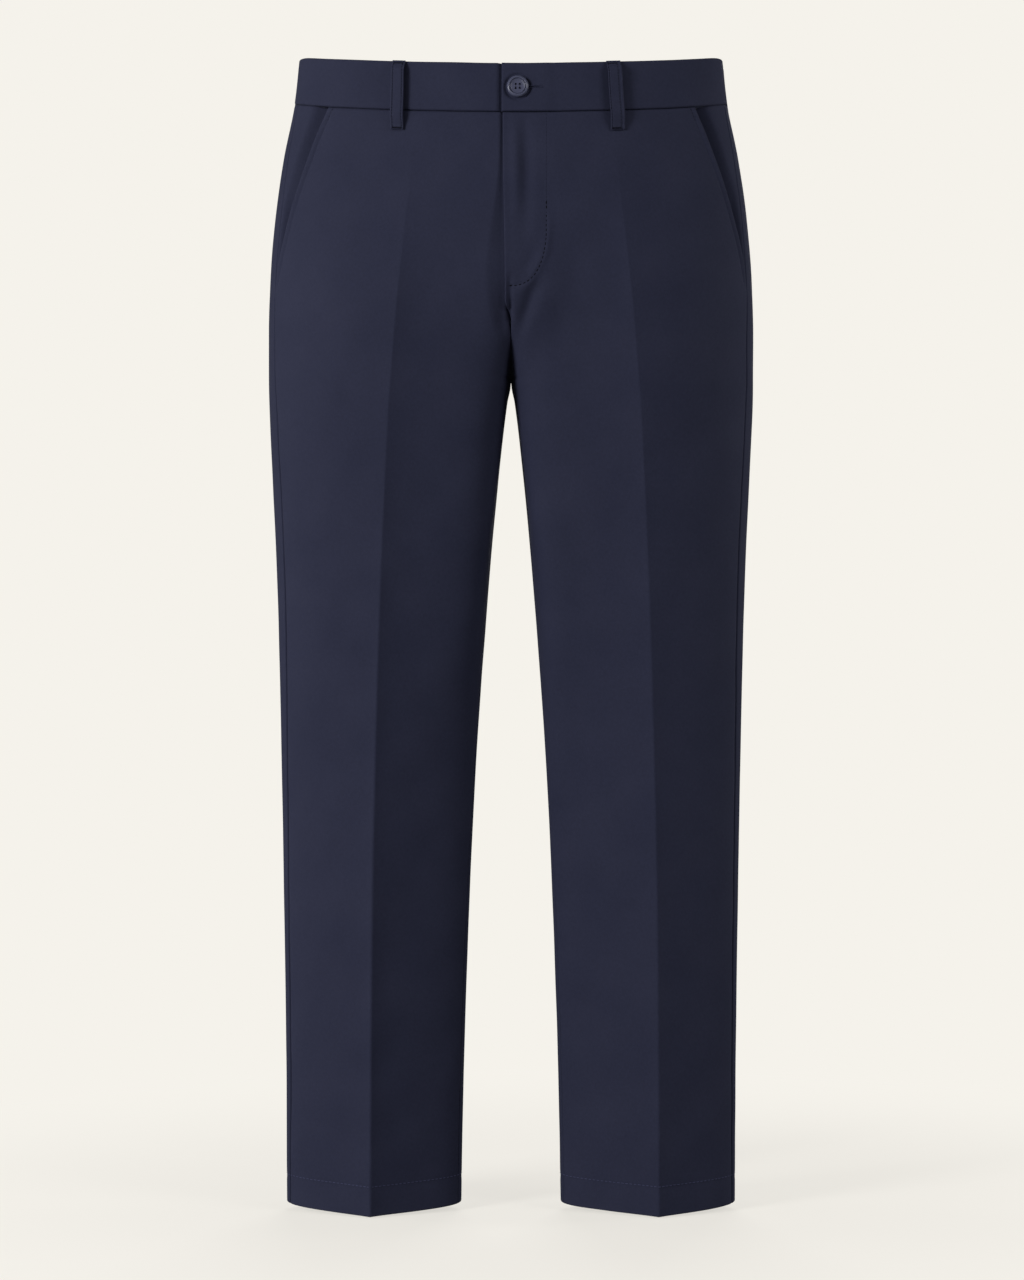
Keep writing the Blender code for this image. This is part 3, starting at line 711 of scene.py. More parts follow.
FLY_RISE = 0.0006        # how much the fly's folded edge stands up
FLY_RISE_REACH = 0.0042
HEM_PRESS = 0.0003       # how much the hem is drawn in just below its stitching
HEM_PRESS_BELOW = 0.0022
HEM_PRESS_REACH = 0.0026
MOUTH_RISE = 0.0015      # how much a pocket's mouth stands up
MOUTH_RISE_REACH = 0.0045
MOUTH_RISE_ENDS = (0.02, 0.03)  # from its foot and from its top, over which it comes to that
SEAM_DRAW = 0.0010       # how much deeper the cloth is drawn in at the side seam
SEAM_DRAW_REACH = 0.0016
SEAM_DRAW_FADE = 0.03    # it fades out over this much below the pocket


def up_fly(values, height):
    """A size that changes from one value to another up the fly."""
    return values[0] + (values[1] - values[0]) * ramp(height, *LAP_SPAN)


def inner_edge(side, height):
    """around of the front's inner edge: the inner seam, then the centre seam or the fly."""
    if height < CROTCH_HEIGHT:
        return along(side, 0.0, height, SHAPE["inseam"](height) + SEWN_GAP)
    plain = along(side, 0.0, height, centre_gap(side, height, "front"))
    if side < 0 or height <= LAP_HEIGHTS[0]:
        return plain
    share = ramp(height, LAP_HEIGHTS[1], BAND_FOOT)
    lap = FLY_LAP_FOOT + (FLY_LAP - FLY_LAP_FOOT) * share
    return around_at(side, -lap * ramp(height, *LAP_HEIGHTS), height)


def hem_press(height):
    return -HEM_PRESS * bell(height - HEM_STITCH + HEM_PRESS_BELOW, HEM_PRESS_REACH)


def front(side, name):
    def dip(around, height):
        form = level(side, around, height)
        apart = np.linalg.norm(form - form[-1], axis=1)
        gaping = (ramp(height, POCKET_FOOT, POCKET_FOOT + MOUTH_RISE_ENDS[0])
                  * ramp(height, BAND_FOOT, BAND_FOOT - MOUTH_RISE_ENDS[1]))
        rise = hem_press(height) + MOUTH_RISE * gaping * bell(apart, MOUTH_RISE_REACH)
        sewn = SEAM_DRAW * (1 - ramp(height, POCKET_FOOT - SEAM_DRAW_FADE, POCKET_FOOT))
        rise = rise - sewn * bell(apart, SEAM_DRAW_REACH)
        if side > 0:
            folded = FLY_RISE * bell((around - around[0]) * SHAPE["crease"](height), FLY_RISE_REACH)
            return rise + folded * ramp(height, *LAP_HEIGHTS)
        beside = 1 - ramp(around, LAP_EDGE, up_fly(LAP_CLEAR, height))
        return rise - up_fly(LAP_SINK, height) * beside * ramp(height, LAP_DIP_START, LAP_HEIGHTS[0])

    def stops(height):
        return inner_edge(side, height), FLY_SIDE, 1.0, pocket_mouth(side, height, -SEWN_GAP)

    arounds = grid(side, PANEL_ROWS, stops, FRONT_COLUMNS,
                   (FINE_EDGE, JUST_ONE, FINE_CREASE, FINE_MOUTH))
    start = "fold" if side > 0 else "seam"
    return shell(name, side, PANEL_ROWS, arounds, (start, "mouth", "fold", "under"), dip, PANEL_WALLS)


# The back's seam allowances lie behind the front's edges: how far they reach, how much lower
# they lie, and the heights between which they end below the pocket and below the crotch.
TUCK = np.array((0.0040, 0.0002))
TUCK_LOWER = 0.0016
SIDE_TUCK_ENDS = (0.760, 0.720)
INSIDE_TUCK_ENDS = (0.720, 0.680)


def back(side, name):
    def sink(around, height):
        lower = np.zeros(len(around))
        lower[:len(TUCK)] = TUCK_LOWER * ramp(height, *SIDE_TUCK_ENDS)
        lower[-len(TUCK):] = TUCK_LOWER * ramp(height, *INSIDE_TUCK_ENDS)
        return hem_press(height) - lower

    def beyond(place, height, way, ends):
        """Places past an edge, from the edge outwards when way is 1."""
        reach = 0.25 * SEWN_GAP * np.array((1.0, 0.5)) + TUCK * ramp(height, *ends)
        return [along(side, place, height, way * float(far)) for far in reach[::-way]]

    def stops(height):
        start = along(side, side_seam(side, height), height, SEWN_GAP)
        if height < CROTCH_HEIGHT:
            return start, 3.0, 4 + along(side, 0.0, height, SHAPE["inseam"](height) - SEWN_GAP)
        return start, 3.0, along(side, 4.0, height, -centre_gap(side, height, "back"))

    shown = grid(side, PANEL_ROWS, stops, BACK_COLUMNS, (FINE_EDGE, FINE_CREASE, FINE_EDGE))
    rows = [np.concatenate((beyond(row[0], height, -1, SIDE_TUCK_ENDS), row,
                            beyond(row[-1], height, 1, INSIDE_TUCK_ENDS)))
            for row, height in zip(shown, PANEL_ROWS)]
    return shell(name, side, PANEL_ROWS, np.stack(rows), ("seam", "seam", "fold", "under"),
                 sink, PANEL_WALLS, len(TUCK))


MOUTH_DEPTH = 0.0075     # how much lower the facing lies in the pocket's mouth
MOUTH_SLOPE = (0.015, 0.130)  # quarters past the mouth between which it comes up
MOUTH_OPENS = (0.001, 0.016)  # sizes of the opening between which it goes down to that depth
FACING_BEND = 0.0005     # how far past the mouth its columns are closest
FACING_SEWN = 0.010      # nearer the side seam than this, in metres, the facing rises to meet it


def pocket_facing(side, name):
    heights = rows_between(FACING_FOOT, BAND_FOOT - SEWN_GAP, 0.004)

    def stops(height):
        return (pocket_mouth(side, height, -FACING_REACH), pocket_mouth(side, height, FACING_BEND),
                along(side, side_seam(side, height), height, -SEWN_GAP))

    def sink(around, height):
        past = around - pocket_mouth(side, height)
        width = mouth_set(height)
        open_share = ramp(width, *MOUTH_OPENS)
        low = MOUTH_DEPTH * (1 - ramp(past, *MOUTH_SLOPE))
        total = FACING_SINK * (1 - ramp(past, 0.0, FACING_RISE)) + low * open_share
        if width > FACING_SEWN / 2:
            form = level(side, around, height)
            across = np.linalg.norm(form[-1] - form, axis=1)
            total = total * ramp(across, 0.0, min(width, FACING_SEWN))
        return -total

    arounds = grid(side, heights, stops, FACING_COLUMNS, (FINE_EDGE, FINE_CREASE, FINE_EDGE))
    return shell(name, side, heights, arounds, ("raw", "seam", "raw", "seam"), sink)


BAND_MIDDLE = BAND_FOOT + BAND_HEIGHT / 2
DENT_DEPTH = 0.0014      # the cloth pressed in round the button's rim
DENT_RADIUS = 0.0107
DENT_REACH = 0.0013


def waistband(side, name):
    heights = rows_between(BAND_FOOT + SEWN_GAP, OUTSEAM, 0.0009 if side > 0 else 0.0026)
    lap = around_at(1, -BAND_LAP, BAND_FOOT)
    start = lap if side > 0 else -BAND_UNDERLAP

    def stops(height):
        return start, BAND_SIDE, 1.0, 2.0, 3.0, along(side, 4.0, height, -SEWN_GAP)

    def lift(around, height):
        if side > 0:
            raised, come_down = BAND_LAP_PROUD, ramp(around, BAND_UNDERLAP, BAND_LEVEL)
            apart = np.hypot(level(1, around, height)[:, 0] - BUTTON_PLACE, height - BAND_MIDDLE)
            raised = raised - DENT_DEPTH * bell(apart - DENT_RADIUS, DENT_REACH)
        else:
            raised = BAND_LAP_PROUD - BAND_CLOTH - SEAM_GAP
            come_down = ramp(around, *BAND_DIP)
        return raised + (BAND_PROUD - raised) * come_down

    first = "thick" if side > 0 else "raw"
    rows = grid(side, heights, stops, BAND_COLUMNS, (FINE_EDGE, *(JUST_ONE,) * 4, FINE_EDGE))
    return shell(name, side, heights, rows, (first, "seam", "seam", "thick"), lift, BAND_CLOTH)


# The front loops with x of the top and of the foot, and the others with their around.
FRONT_LOOPS = (("belt_loop_front_left", 1, 0.0892, 0.0939),
               ("belt_loop_front_right", -1, 0.1000, 0.1018))
OTHER_LOOPS = (("belt_loop_side_left", 1, 2.16), ("belt_loop_side_right", -1, 2.16),
               ("belt_loop_back_left", 1, 3.00), ("belt_loop_back_right", -1, 3.00),
               ("belt_loop_center_back", 1, 4.00))
LOOP_ARCH = (0.26, 0.14)  # shares of its length over which it comes away, from its foot and top
LOOP_GROOVE = (0.0003, 0.0006)  # how deep its stitching draws in, and how wide
HALF_LOOP = np.array((0, .0015, .0028, .0035, .0039, .0042, .0045, .0049, .0054, .0058, .0060))


def loop_lift(name, height):
    up = (height - LOOP_FOOT) / (LOOP_TOP - LOOP_FOOT)
    arch = ramp(up, 0.0, LOOP_ARCH[0]) * ramp(1 - up, 0.0, LOOP_ARCH[1])
    room = LOOP_ROOM["front" if "front" in name else "other"]
    return BAND_PROUD + LOOP_SEAT + room * arch + LOOP_CLOTH


def loop_middle(top, foot, height):
    return foot + (top - foot) * (height - LOOP_FOOT) / (LOOP_TOP - LOOP_FOOT)


def belt_loop(name, side, top, foot):
    heights = rows_between(LOOP_FOOT, LOOP_TOP, 0.0016)
    offsets = np.concatenate((-HALF_LOOP[:0:-1], HALF_LOOP))
    groove, reach = LOOP_GROOVE
    stitched = groove * bell(np.abs(offsets) - LOOP_WIDTH / 2 + LOOP_STITCH, reach)
    rows = []
    for height in heights:
        middle = loop_middle(top, foot, height)
        ahead, behind = (along(side, middle, height, way * LOOP_WIDTH / 2) for way in (1, -1))
        rows.append(middle + offsets / LOOP_WIDTH * (ahead - behind))
    return shell(name, side, heights, np.stack(rows), ("fold", "fold", "thick", "thick"),
                 lambda around, height: loop_lift(name, height) - stitched, LOOP_CLOTH)


# ------------------------------------------------------------------ fly, zip and button

ZIP_WIDTH = 0.028
ZIP_SPAN = (0.848, 0.985)
ZIP_SINK = CLOTH + 2 * SEAM_GAP
SHIELD_SPAN = (-0.012, 0.034)
SHIELD_FOOT = 0.018      # x of its free edge at the foot
SHIELD_TOP = 1.0045
SHIELD_TURN = 0.900      # height from which that edge runs straight up
SHIELD_SINKS = (-0.009, 0.030)  # around between which it goes down behind the zip's slider
SLIDER_THICK = 0.0031


def fly_strip(name, heights, xs, lift):
    rows = np.stack([[around_at(1, x, height) for x in xs(height)] for height in heights])
    return shell(name, 1, heights, rows, ("raw",) * 4, lift)


def zip_tape(name):
    return fly_strip(name, rows_between(*ZIP_SPAN, 0.005),
                     lambda height: np.linspace(0.0002, ZIP_WIDTH, 15),
                     lambda around, height: np.full(len(around), -ZIP_SINK))


def fly_shield(name):
    deep = ZIP_SINK + SLIDER_THICK + 2 * SEAM_GAP

    def xs(height):
        turned_in = (SHIELD_SPAN[1] - SHIELD_FOOT) * (1 - ramp(height, ZIP_SPAN[0], SHIELD_TURN))
        return np.linspace(SHIELD_SPAN[0], SHIELD_SPAN[1] - turned_in, 30)

    def sink(around, height):
        seat = up_fly(LAP_SINK, height) + CLOTH + 2 * SEAM_GAP
        return -seat - (deep - seat) * ramp(around, *SHIELD_SINKS)

    return fly_strip(name, rows_between(ZIP_SPAN[0], SHIELD_TOP, 0.005), xs, sink)


# ------------------------------------------------------------------ thread

def stitch_shape():
    """One stitch of unit length, width and rise: x along it, y across, z out of the cloth."""
    points = [(-0.5, 0, -0.2)]
    for x, size in ((-0.36, 0.9), (0.0, 1.0), (0.36, 0.9)):
        points += [(x, 0.5 * size * cos(a), 0.5 * size * sin(a)) for a in np.arange(6) * pi / 3]
    points.append((0.5, 0, -0.2))
    faces = []
    for k in range(6):
        n = (k + 1) % 6
        faces.append((0, 1 + n, 1 + k))
        for ring in (1, 7):
            faces.append((ring + k, ring + n, 6 + ring + n))
            faces.append((ring + k, 6 + ring + n, 6 + ring + k))
        faces.append((13 + k, 13 + n, 19))
    return np.array(points), np.array(faces)


STITCH = stitch_shape()


def seam_line(places, lifts):
    """The finished cloth's points and normals at (side, around, height) places."""
    spots = [skin(*place, lift) for place, lift in zip(places, lifts)]
    return tuple(np.vstack(rows) for rows in zip(*spots))


def sewn(line, normals, pitch):
    """Middles, ways and normals of stitches along a line."""
    run = run_along(line)
    count = max(1, int(run[-1] / pitch))
    spots = (np.arange(count) + 0.5) * run[-1] / count

    def at(values, where):
        return np.stack([np.interp(where, run, values[:, k]) for k in range(3)], axis=1)

    ways = at(line, np.minimum(spots + pitch / 4, run[-1])) - at(line, np.maximum(spots - pitch / 4, 0))
    return at(line, spots), ways, unit(at(normals, spots))


THREAD_SHARE = 0.72      # how much of a stitch's pitch its thread takes, and the rest is gap


class Threads:
    """Gathers stitches into one mesh."""

    def __init__(self):
        self.points, self.faces, self.count = [], [], 0

    def lay(self, middles, ways, normals, size):
        """Stitches at middles, lying along ways: size is their length, width and rise."""
        shape, faces = STITCH
        ways = unit(ways - normals * np.sum(ways * normals, axis=1)[:, None])
        across = np.cross(normals, ways)
        points = (middles[:, None] + ways[:, None] * shape[None, :, :1] * size[0]
                  + across[:, None] * shape[None, :, 1:2] * size[1]
                  + normals[:, None] * shape[None, :, 2:] * size[2])
        begun = self.count + np.arange(len(middles))[:, None, None] * len(shape)
        self.points.append(points.reshape(-1, 3))
        self.faces.append((faces + begun).reshape(-1, 3))
        self.count += len(middles) * len(shape)

    def run(self, places, lift=0.0, pitch=0.0032, width=0.00055, rise=0.00045):
        lifts = lift if hasattr(lift, "__len__") else [lift] * len(places)
        self.lay(*sewn(*seam_line(places, lifts), pitch), (pitch * THREAD_SHARE, width, rise))

    def tack(self, line, normals, pitch, size):
        """A bar tack: close threads across a short line."""
        middles, ways, normals = sewn(line, normals, pitch)
        self.lay(middles, np.cross(normals, ways), normals, size)

    def piece(self, name, finish, slot="navy_cloth"):
        linked(name, mesh_of(name, np.vstack(self.points), np.vstack(self.faces)), finish, slot=slot)


# ------------------------------------------------------------------ materials

def wired(tree, node, inputs):
    """The node, with its inputs set, or linked where the value is another's output."""
    for key, value in inputs.items():
        if isinstance(value, bpy.types.NodeSocket):
            tree.links.new(value, node.inputs[key])
        else:
            node.inputs[key].default_value = value
    return node


def added(tree, kind, inputs=(), output=0, **settings):
    """An output of a new node of this kind, or the node where it has none."""
    node = tree.nodes.new("ShaderNode" + kind)
    for key, value in settings.items():
        setattr(node, key, value)
    outputs = wired(tree, node, dict(inputs)).outputs
    return outputs[output] if outputs else node


def toned(tree, factor, dark, light):
    """A colour between dark and light."""
    return added(tree, "Mix", {"Factor": factor, "A": (*dark, 1), "B": (*light, 1)}, "Result",
                 data_type="RGBA")


def noise(tree, place, scale, detail=2.0, distortion=0.0):
    return added(tree, "TexNoise", {"Vector": place, "Scale": scale, "Detail": detail,
                                    "Distortion": distortion}, "Fac")


def stretched(tree, place, scale):
    return added(tree, "Mapping", {"Vector": place, "Scale": scale})


def between(tree, value, low, high):
    return added(tree, "MapRange", {"Value": value, "To Min": low, "To Max": high})


def shade(colour, share):
    return tuple(channel * share for channel in colour)


def mottled(tree, colour, factor, spread):
    """A colour that a factor makes darker and lighter by this share."""
    return toned(tree, factor, shade(colour, 1 - spread), shade(colour, 1 + spread))


def material(name, finish):
    """A new material: finish gives its shader's values from its node tree and the place on it."""
    made = bpy.data.materials.new(name)
    made.use_nodes = True
    tree = made.node_tree
    place = added(tree, "TexCoord", output="Object")
    wired(tree, tree.nodes["Principled BSDF"], finish(tree, place))
    return made


TWILL_PITCH = 0.00055
NAVY = (0.0254, 0.0281, 0.0553)


def twill(name, colour, relief_strength=0.35):
    """Fine wool twill: steep diagonal ribs, yarns a little uneven, slow changes of tone."""
    def finish(tree, place):
        weave = added(tree, "UVMap", uv_map="weave")
        diagonal = added(tree, "Mapping", {"Vector": weave, "Rotation": (0, 0, radians(27))})
        ribs = added(tree, "TexWave", {
            "Vector": diagonal, "Scale": 0.314 / TWILL_PITCH, "Distortion": 1.2, "Detail": 1.0,
            "Detail Scale": 1.5}, "Fac", wave_type="BANDS", bands_direction="X")
        yarn = noise(tree, stretched(tree, weave, (2600, 260, 1)), 1.0)
        heather = noise(tree, place, 420.0)
        lit = added(tree, "Math", {0: yarn, 1: 0.5}, operation="MULTIPLY")
        lit = added(tree, "Math", {0: heather, 1: 0.5, 2: lit}, operation="MULTIPLY_ADD")
        worn = toned(tree, noise(tree, place, 22.0, 3.0), (0.85, 0.87, 0.91), (1.19, 1.17, 1.13))
        base = added(tree, "Mix", {"Factor": 1.0, "A": mottled(tree, colour, lit, 0.28), "B": worn},
                     "Result", data_type="RGBA", blend_type="MULTIPLY")
        height = added(tree, "Math", {0: yarn, 1: 0.6, 2: ribs}, operation="MULTIPLY_ADD")
        bump = added(tree, "Bump", {"Strength": relief_strength, "Distance": 0.00006, "Height": height})
        return {"Base Color": base, "Normal": bump, "Roughness": 0.82, "Specular IOR Level": 0.12,
                "Sheen Weight": 0.05, "Sheen Roughness": 0.30, "Sheen Tint": (0.62, 0.66, 0.90, 1)}
    return material(name, finish)


def thread(name, colour):
    """Twisted sewing thread, a little smoother than the cloth."""
    return material(name, lambda tree, place: {
        "Base Color": mottled(tree, colour, noise(tree, place, 3000.0, 1.0), 0.3),
        "Roughness": 0.75, "Specular IOR Level": 0.1})


def resin(name, colour):
    """Cast button resin: faint cloudy streaks under a soft gloss."""
    def finish(tree, place):
        cloud = noise(tree, stretched(tree, place, (150, 150, 420)), 1.0, 3.0, 0.8)
        return {"Base Color": mottled(tree, colour, cloud, 0.25), "Specular IOR Level": 0.55,
                "Roughness": between(tree, noise(tree, place, 900.0), 0.26, 0.36)}
    return material(name, finish)


def metal(name, colour):
    """Dark plated metal with a faint brushing."""
    def finish(tree, place):
        grain = noise(tree, stretched(tree, place, (4000, 4000, 300)), 1.0)
        return {"Base Color": mottled(tree, colour, grain, 0.15), "Metallic": 1.0,
                "Roughness": between(tree, grain, 0.3, 0.45)}
    return material(name, finish)


WOOL = twill("navy_wool_twill", NAVY)
TAPE = twill("navy_zip_tape", shade(NAVY, 0.7), 0.5)
# This thread is partly its own dark navy and partly painted shade: its darkness stands in for the shade
# where the stitching draws the cloth in.
THREAD_DARKENED_FOR_SHADE = thread("navy_thread_painted_shade", shade(NAVY, 0.40))
# Almost black, nearly all painted shade: it stands in for the shade where the fly's curved stitching draws
# the cloth in.
PAINTED_SHADE_THREAD = thread("fly_thread_painted_shade", shade(NAVY, 0.10))
PURL = thread("navy_buttonhole_thread", shade(NAVY, 1.15))
HEM_THREAD = thread("hem_thread", shade(NAVY, 2.6))
BUTTON_RESIN = resin("navy_resin_fine", (0.070, 0.076, 0.130))
DARK_METAL = metal("dark_plated_metal", (0.20, 0.20, 0.21))


# ------------------------------------------------------------------ the cloth pieces in place


def placed(mesh, node, kind, finish=WOOL, slot="navy_cloth", held="stretched"):
    """A cloth piece in place of its CAD node."""
    piece = linked(f"{node}_cloth", mesh, finish, node, slot)


for side, name in ((1, "left"), (-1, "right")):
    placed(front(side, f"front_{name}"), f"front_{name}", "front", held="hung")
    placed(back(side, f"back_{name}"), f"back_{name}", "back", held="hung")
    placed(pocket_facing(side, f"pocket_facing_{name}"), f"pocket_facing_{name}", "pocket_facing")
    placed(waistband(side, f"waistband_{name}"), f"waistband_{name}", f"waistband_{name}")
LOOPS = [(name, side, around_at(side, top, LOOP_TOP), around_at(side, foot, LOOP_FOOT))
         for name, side, top, foot in FRONT_LOOPS]
LOOPS += [(name, side, around, around) for name, side, around in OTHER_LOOPS]
for name, side, top, foot in LOOPS:
    placed(belt_loop(name, side, top, foot), name, "belt_loop")
placed(fly_shield("fly_shield"), "fly_shield", "fly_shield")
placed(zip_tape("zip"), "zip", "zip", TAPE, "navy_tape")


# ------------------------------------------------------------------ stitching

POCKET_TACKS = (POCKET_FOOT + 0.004, POCKET_FOOT + 0.007, BAND_FOOT - 0.012, BAND_FOOT - 0.009)
LOOP_TACKS = (LOOP_FOOT + 0.0015, LOOP_TOP - 0.0030)
TACK_REACH = 0.0045      # half the length of a loop's bar tack
TACK_PITCH = 0.00042
TACK_STITCH = (0.0018, 1.05 * TACK_PITCH, 0.0006)

fly_stitching = Threads()
# The fly's curved stitching gets the near-black thread: painted shade for the cloth drawn in along it.
fly_stitching.run(FLY_CURVE, pitch=0.0040, width=0.0011, rise=0.0004)
fly_stitching.piece("fly_stitching", PAINTED_SHADE_THREAD)

top_stitching = Threads()
for side in (1, -1):
    heights = evenly(POCKET_STITCH_FOOT, BAND_FOOT - 0.001, 30)
    top_stitching.run([pocket_line(side, height) for height in heights])
    for height in POCKET_TACKS:
        insets = evenly(0.0015, POCKET_STITCH + 0.0010, 4)
        top_stitching.run([pocket_line(side, height, inset) for inset in insets],
                          pitch=0.0026, width=0.0004, rise=0.00035)
top_stitching.run(FLY_STRAIGHT, width=0.00030, rise=0.00022)
for name, side, top, foot in LOOPS:
    heights = evenly(LOOP_FOOT + 0.002, LOOP_TOP - 0.0015, 24)
    lifts = [loop_lift(name, height) for height in heights]
    for apart in (LOOP_STITCH - LOOP_WIDTH / 2, LOOP_WIDTH / 2 - LOOP_STITCH):
        top_stitching.run([(side, along(side, loop_middle(top, foot, height), height, apart), height)
                           for height in heights], lifts, pitch=0.0026)
    for height in LOOP_TACKS:
        middle = loop_middle(top, foot, height)
        places = [(side, along(side, middle, height, part), height)
                  for part in evenly(-TACK_REACH, TACK_REACH, 6)]
        line = seam_line(places, [loop_lift(name, height)] * len(places))
        top_stitching.tack(*line, TACK_PITCH, TACK_STITCH)
top_stitching.piece("top_stitching", THREAD_DARKENED_FOR_SHADE)

hem_stitching = Threads()
for side in (1, -1):
    hem_stitching.run([(side, around, HEM_STITCH) for around in evenly(0.0, 4.0, 160)],
                      pitch=0.0040, width=0.0006, rise=0.0002)
hem_stitching.piece("hem_stitching", HEM_THREAD)


# ------------------------------------------------------------------ button and buttonhole

def seat_at(x, height, lift):
    """Where something sits off the left front, x out from the centre, turned to face out."""
    around = around_at(1, x, height)
    point = level(1, around, height)
    out = outward(1, around, height)
    seat = Vector(out[0]).to_track_quat("Z", "Y").to_matrix().to_4x4()
    seat.translation = (point + out * (relief(point, out) + lift)[:, None])[0]
    return seat


def block(shape, size):
    """A box of this size added to a shape: its corners."""
    corners = bmesh.ops.create_cube(shape, size=1)["verts"]
    bmesh.ops.scale(shape, verts=corners, vec=size)
    return corners


def smoothed(mesh):
    mesh.shade_smooth()
    mesh.set_sharp_from_angle(angle=radians(40))


def mesh_from(shape, name):
    mesh = bpy.data.meshes.new(name)
    shape.to_mesh(mesh)
    shape.free()
    return mesh


def finished_mesh(shape, name, seat):
    bmesh.ops.recalc_face_normals(shape, faces=shape.faces)
    mesh = mesh_from(shape, name)
    mesh.transform(seat)
    smoothed(mesh)
    return mesh


def subtract(piece, tool_mesh):
    """Cuts a shape out of a piece, leaving no modifier and no cutter."""
    tool = in_scene("cutting_shape", tool_mesh)
    cut = piece.modifiers.new("Cut", "BOOLEAN")
    cut.operation, cut.solver, cut.object = "DIFFERENCE", "EXACT", tool
    evaluated = piece.evaluated_get(bpy.context.evaluated_depsgraph_get())
    result = bpy.data.meshes.new_from_object(evaluated)
    piece.modifiers.remove(cut)
    piece.data = result
    bpy.data.objects.remove(tool, do_unlink=True)
    bpy.data.meshes.remove(tool_mesh)


# The button's profile from its middle out: share of its radius, and how far below its top.
# Then back to the middle: share of its radius, and how far above its foot.
BUTTON_FACE = ((0, .0012), (.40, .0012), (.56, .0010), (.63, .0007), (.67, .0006), (.70, .0012),
               (.735, .0012), (.77, .0002), (.81, 0), (.86, .00005), (.92, .0004), (.965, .0009),
               (.99, .0014), (1, .0018), (.98, .0023))
BUTTON_BACK = ((.93, .0006), (.84, .0002), (.70, 0), (0, 0))
BUTTON_TOP = SEAM_GAP + BUTTON_THICK
BUTTON_HOLE = 0.0010     # radius of its four holes
BUTTON_HOLE_SET = 0.00185  # how far each is from its middle, across and up
CORNERS = ((-1, -1), (-1, 1), (1, -1), (1, 1))


def button():
    """A turned four-hole button: a round rim, a fine groove and a dished middle."""
    profile = [(share * BUTTON_RADIUS, BUTTON_TOP - drop) for share, drop in BUTTON_FACE]
    profile += [(share * BUTTON_RADIUS, SEAM_GAP + rise) for share, rise in BUTTON_BACK]
    shape = bmesh.new()
    line = [shape.verts.new((x, 0, z)) for x, z in profile]
    edges = [shape.edges.new(pair) for pair in zip(line, line[1:])]
    bmesh.ops.spin(shape, geom=line + edges, cent=(0, 0, 0), axis=(0, 0, 1), angle=2 * pi, steps=72)
    bmesh.ops.remove_doubles(shape, verts=shape.verts, dist=1e-6)
    seat = seat_at(BUTTON_PLACE, BAND_MIDDLE, BAND_LAP_PROUD)
    piece = linked("button_turned", finished_mesh(shape, "button_turned", seat), BUTTON_RESIN,
                   "button", "navy_resin")
    drills = bmesh.new()
    for x, y in CORNERS:
        made = bmesh.ops.create_cone(drills, cap_ends=True, segments=24, radius1=BUTTON_HOLE,
                                     radius2=BUTTON_HOLE, depth=4 * BUTTON_THICK)
        bmesh.ops.translate(drills, verts=made["verts"], vec=(x * BUTTON_HOLE_SET, y * BUTTON_HOLE_SET, 0))
    subtract(piece, finished_mesh(drills, "drills", seat))
    smoothed(piece.data)
    return seat


def across_band(xs):
    """Points and normals along the middle of the band's left end."""
    return seam_line([(1, around_at(1, x, BAND_MIDDLE), BAND_MIDDLE) for x in xs],
                     [BAND_LAP_PROUD] * len(xs))


SLIT_WIDTH = 0.0016
SLIT_NARROWING = 0.12    # its width at its far end as a share of that
PURL_PITCH = 0.00062
PURL_STITCH = (0.0015, 0.0006, 0.0007)
PURL_APART = 0.0008      # from the slit's middle, and how much more at its near end
PURL_SPREAD = 0.0005
BAR_SPAN = (0.0004, 0.0030)  # past the slit's far end
BAR_PITCH = 0.00065
BAR_STITCH = (0.0038, 0.0007, 0.0006)


def buttonhole():
    """The slit in the band, with its close stitching and end bar."""
    slit = bmesh.new()
    for corner in block(slit, (SLIT_END - SLIT_START, SLIT_WIDTH, 4 * BAND_CLOTH)):
        if corner.co.x > 0:
            corner.co.y *= SLIT_NARROWING
    middle = seat_at((SLIT_START + SLIT_END) / 2, BAND_MIDDLE, BAND_LAP_PROUD)
    subtract(bpy.data.objects["waistband_left_cloth"], finished_mesh(slit, "slit", middle))
    purl = Threads()
    middles, ways, normals = sewn(*across_band(evenly(SLIT_START, SLIT_END, 20)), PURL_PITCH)
    upright = unit(np.cross(normals, ways))
    for way in (-1, 1):
        apart = PURL_APART + PURL_SPREAD * np.linspace(1, 0, len(middles))[:, None]
        purl.lay(middles + way * upright * apart, upright, normals, PURL_STITCH)
    bar = across_band(evenly(SLIT_END + BAR_SPAN[0], SLIT_END + BAR_SPAN[1], 6))
    purl.tack(*bar, BAR_PITCH, BAR_STITCH)
    purl.piece("buttonhole_stitching", PURL)


HOLE_STITCH = (0.0030, 0.0005, 0.0005)
HOLE_STITCH_SINK = 0.0013  # below the button's top
SHANK_STITCH = (0.0042, 0.0006, 0.0006)
SHANK_STITCHES = 5
SHANK_RADIUS = 0.00035
SHANK_SINK = 0.0016      # how far its middle lies below the button's foot


def button_thread(seat):
    """The threads between the button's holes and the shank below it."""
    right, up, out, middle = (np.array(seat.col[k][:3]) for k in range(4))
    sewing = Threads()
    for x in (-1, 1):
        spot = middle + right * x * BUTTON_HOLE_SET + out * (BUTTON_TOP - HOLE_STITCH_SINK)
        sewing.lay(spot[None], up[None], out[None], HOLE_STITCH)
    for turn in np.arange(SHANK_STITCHES) * 2 * pi / SHANK_STITCHES:
        round_it = SHANK_RADIUS * (right * cos(turn) + up * sin(turn))
        spot = middle + round_it + out * (SEAM_GAP - SHANK_SINK)
        sewing.lay(spot[None], out[None], up[None], SHANK_STITCH)
    sewing.piece("button_thread", THREAD_DARKENED_FOR_SHADE, "navy_resin")


button_seat = button()
buttonhole()
button_thread(button_seat)


# ------------------------------------------------------------------ zip

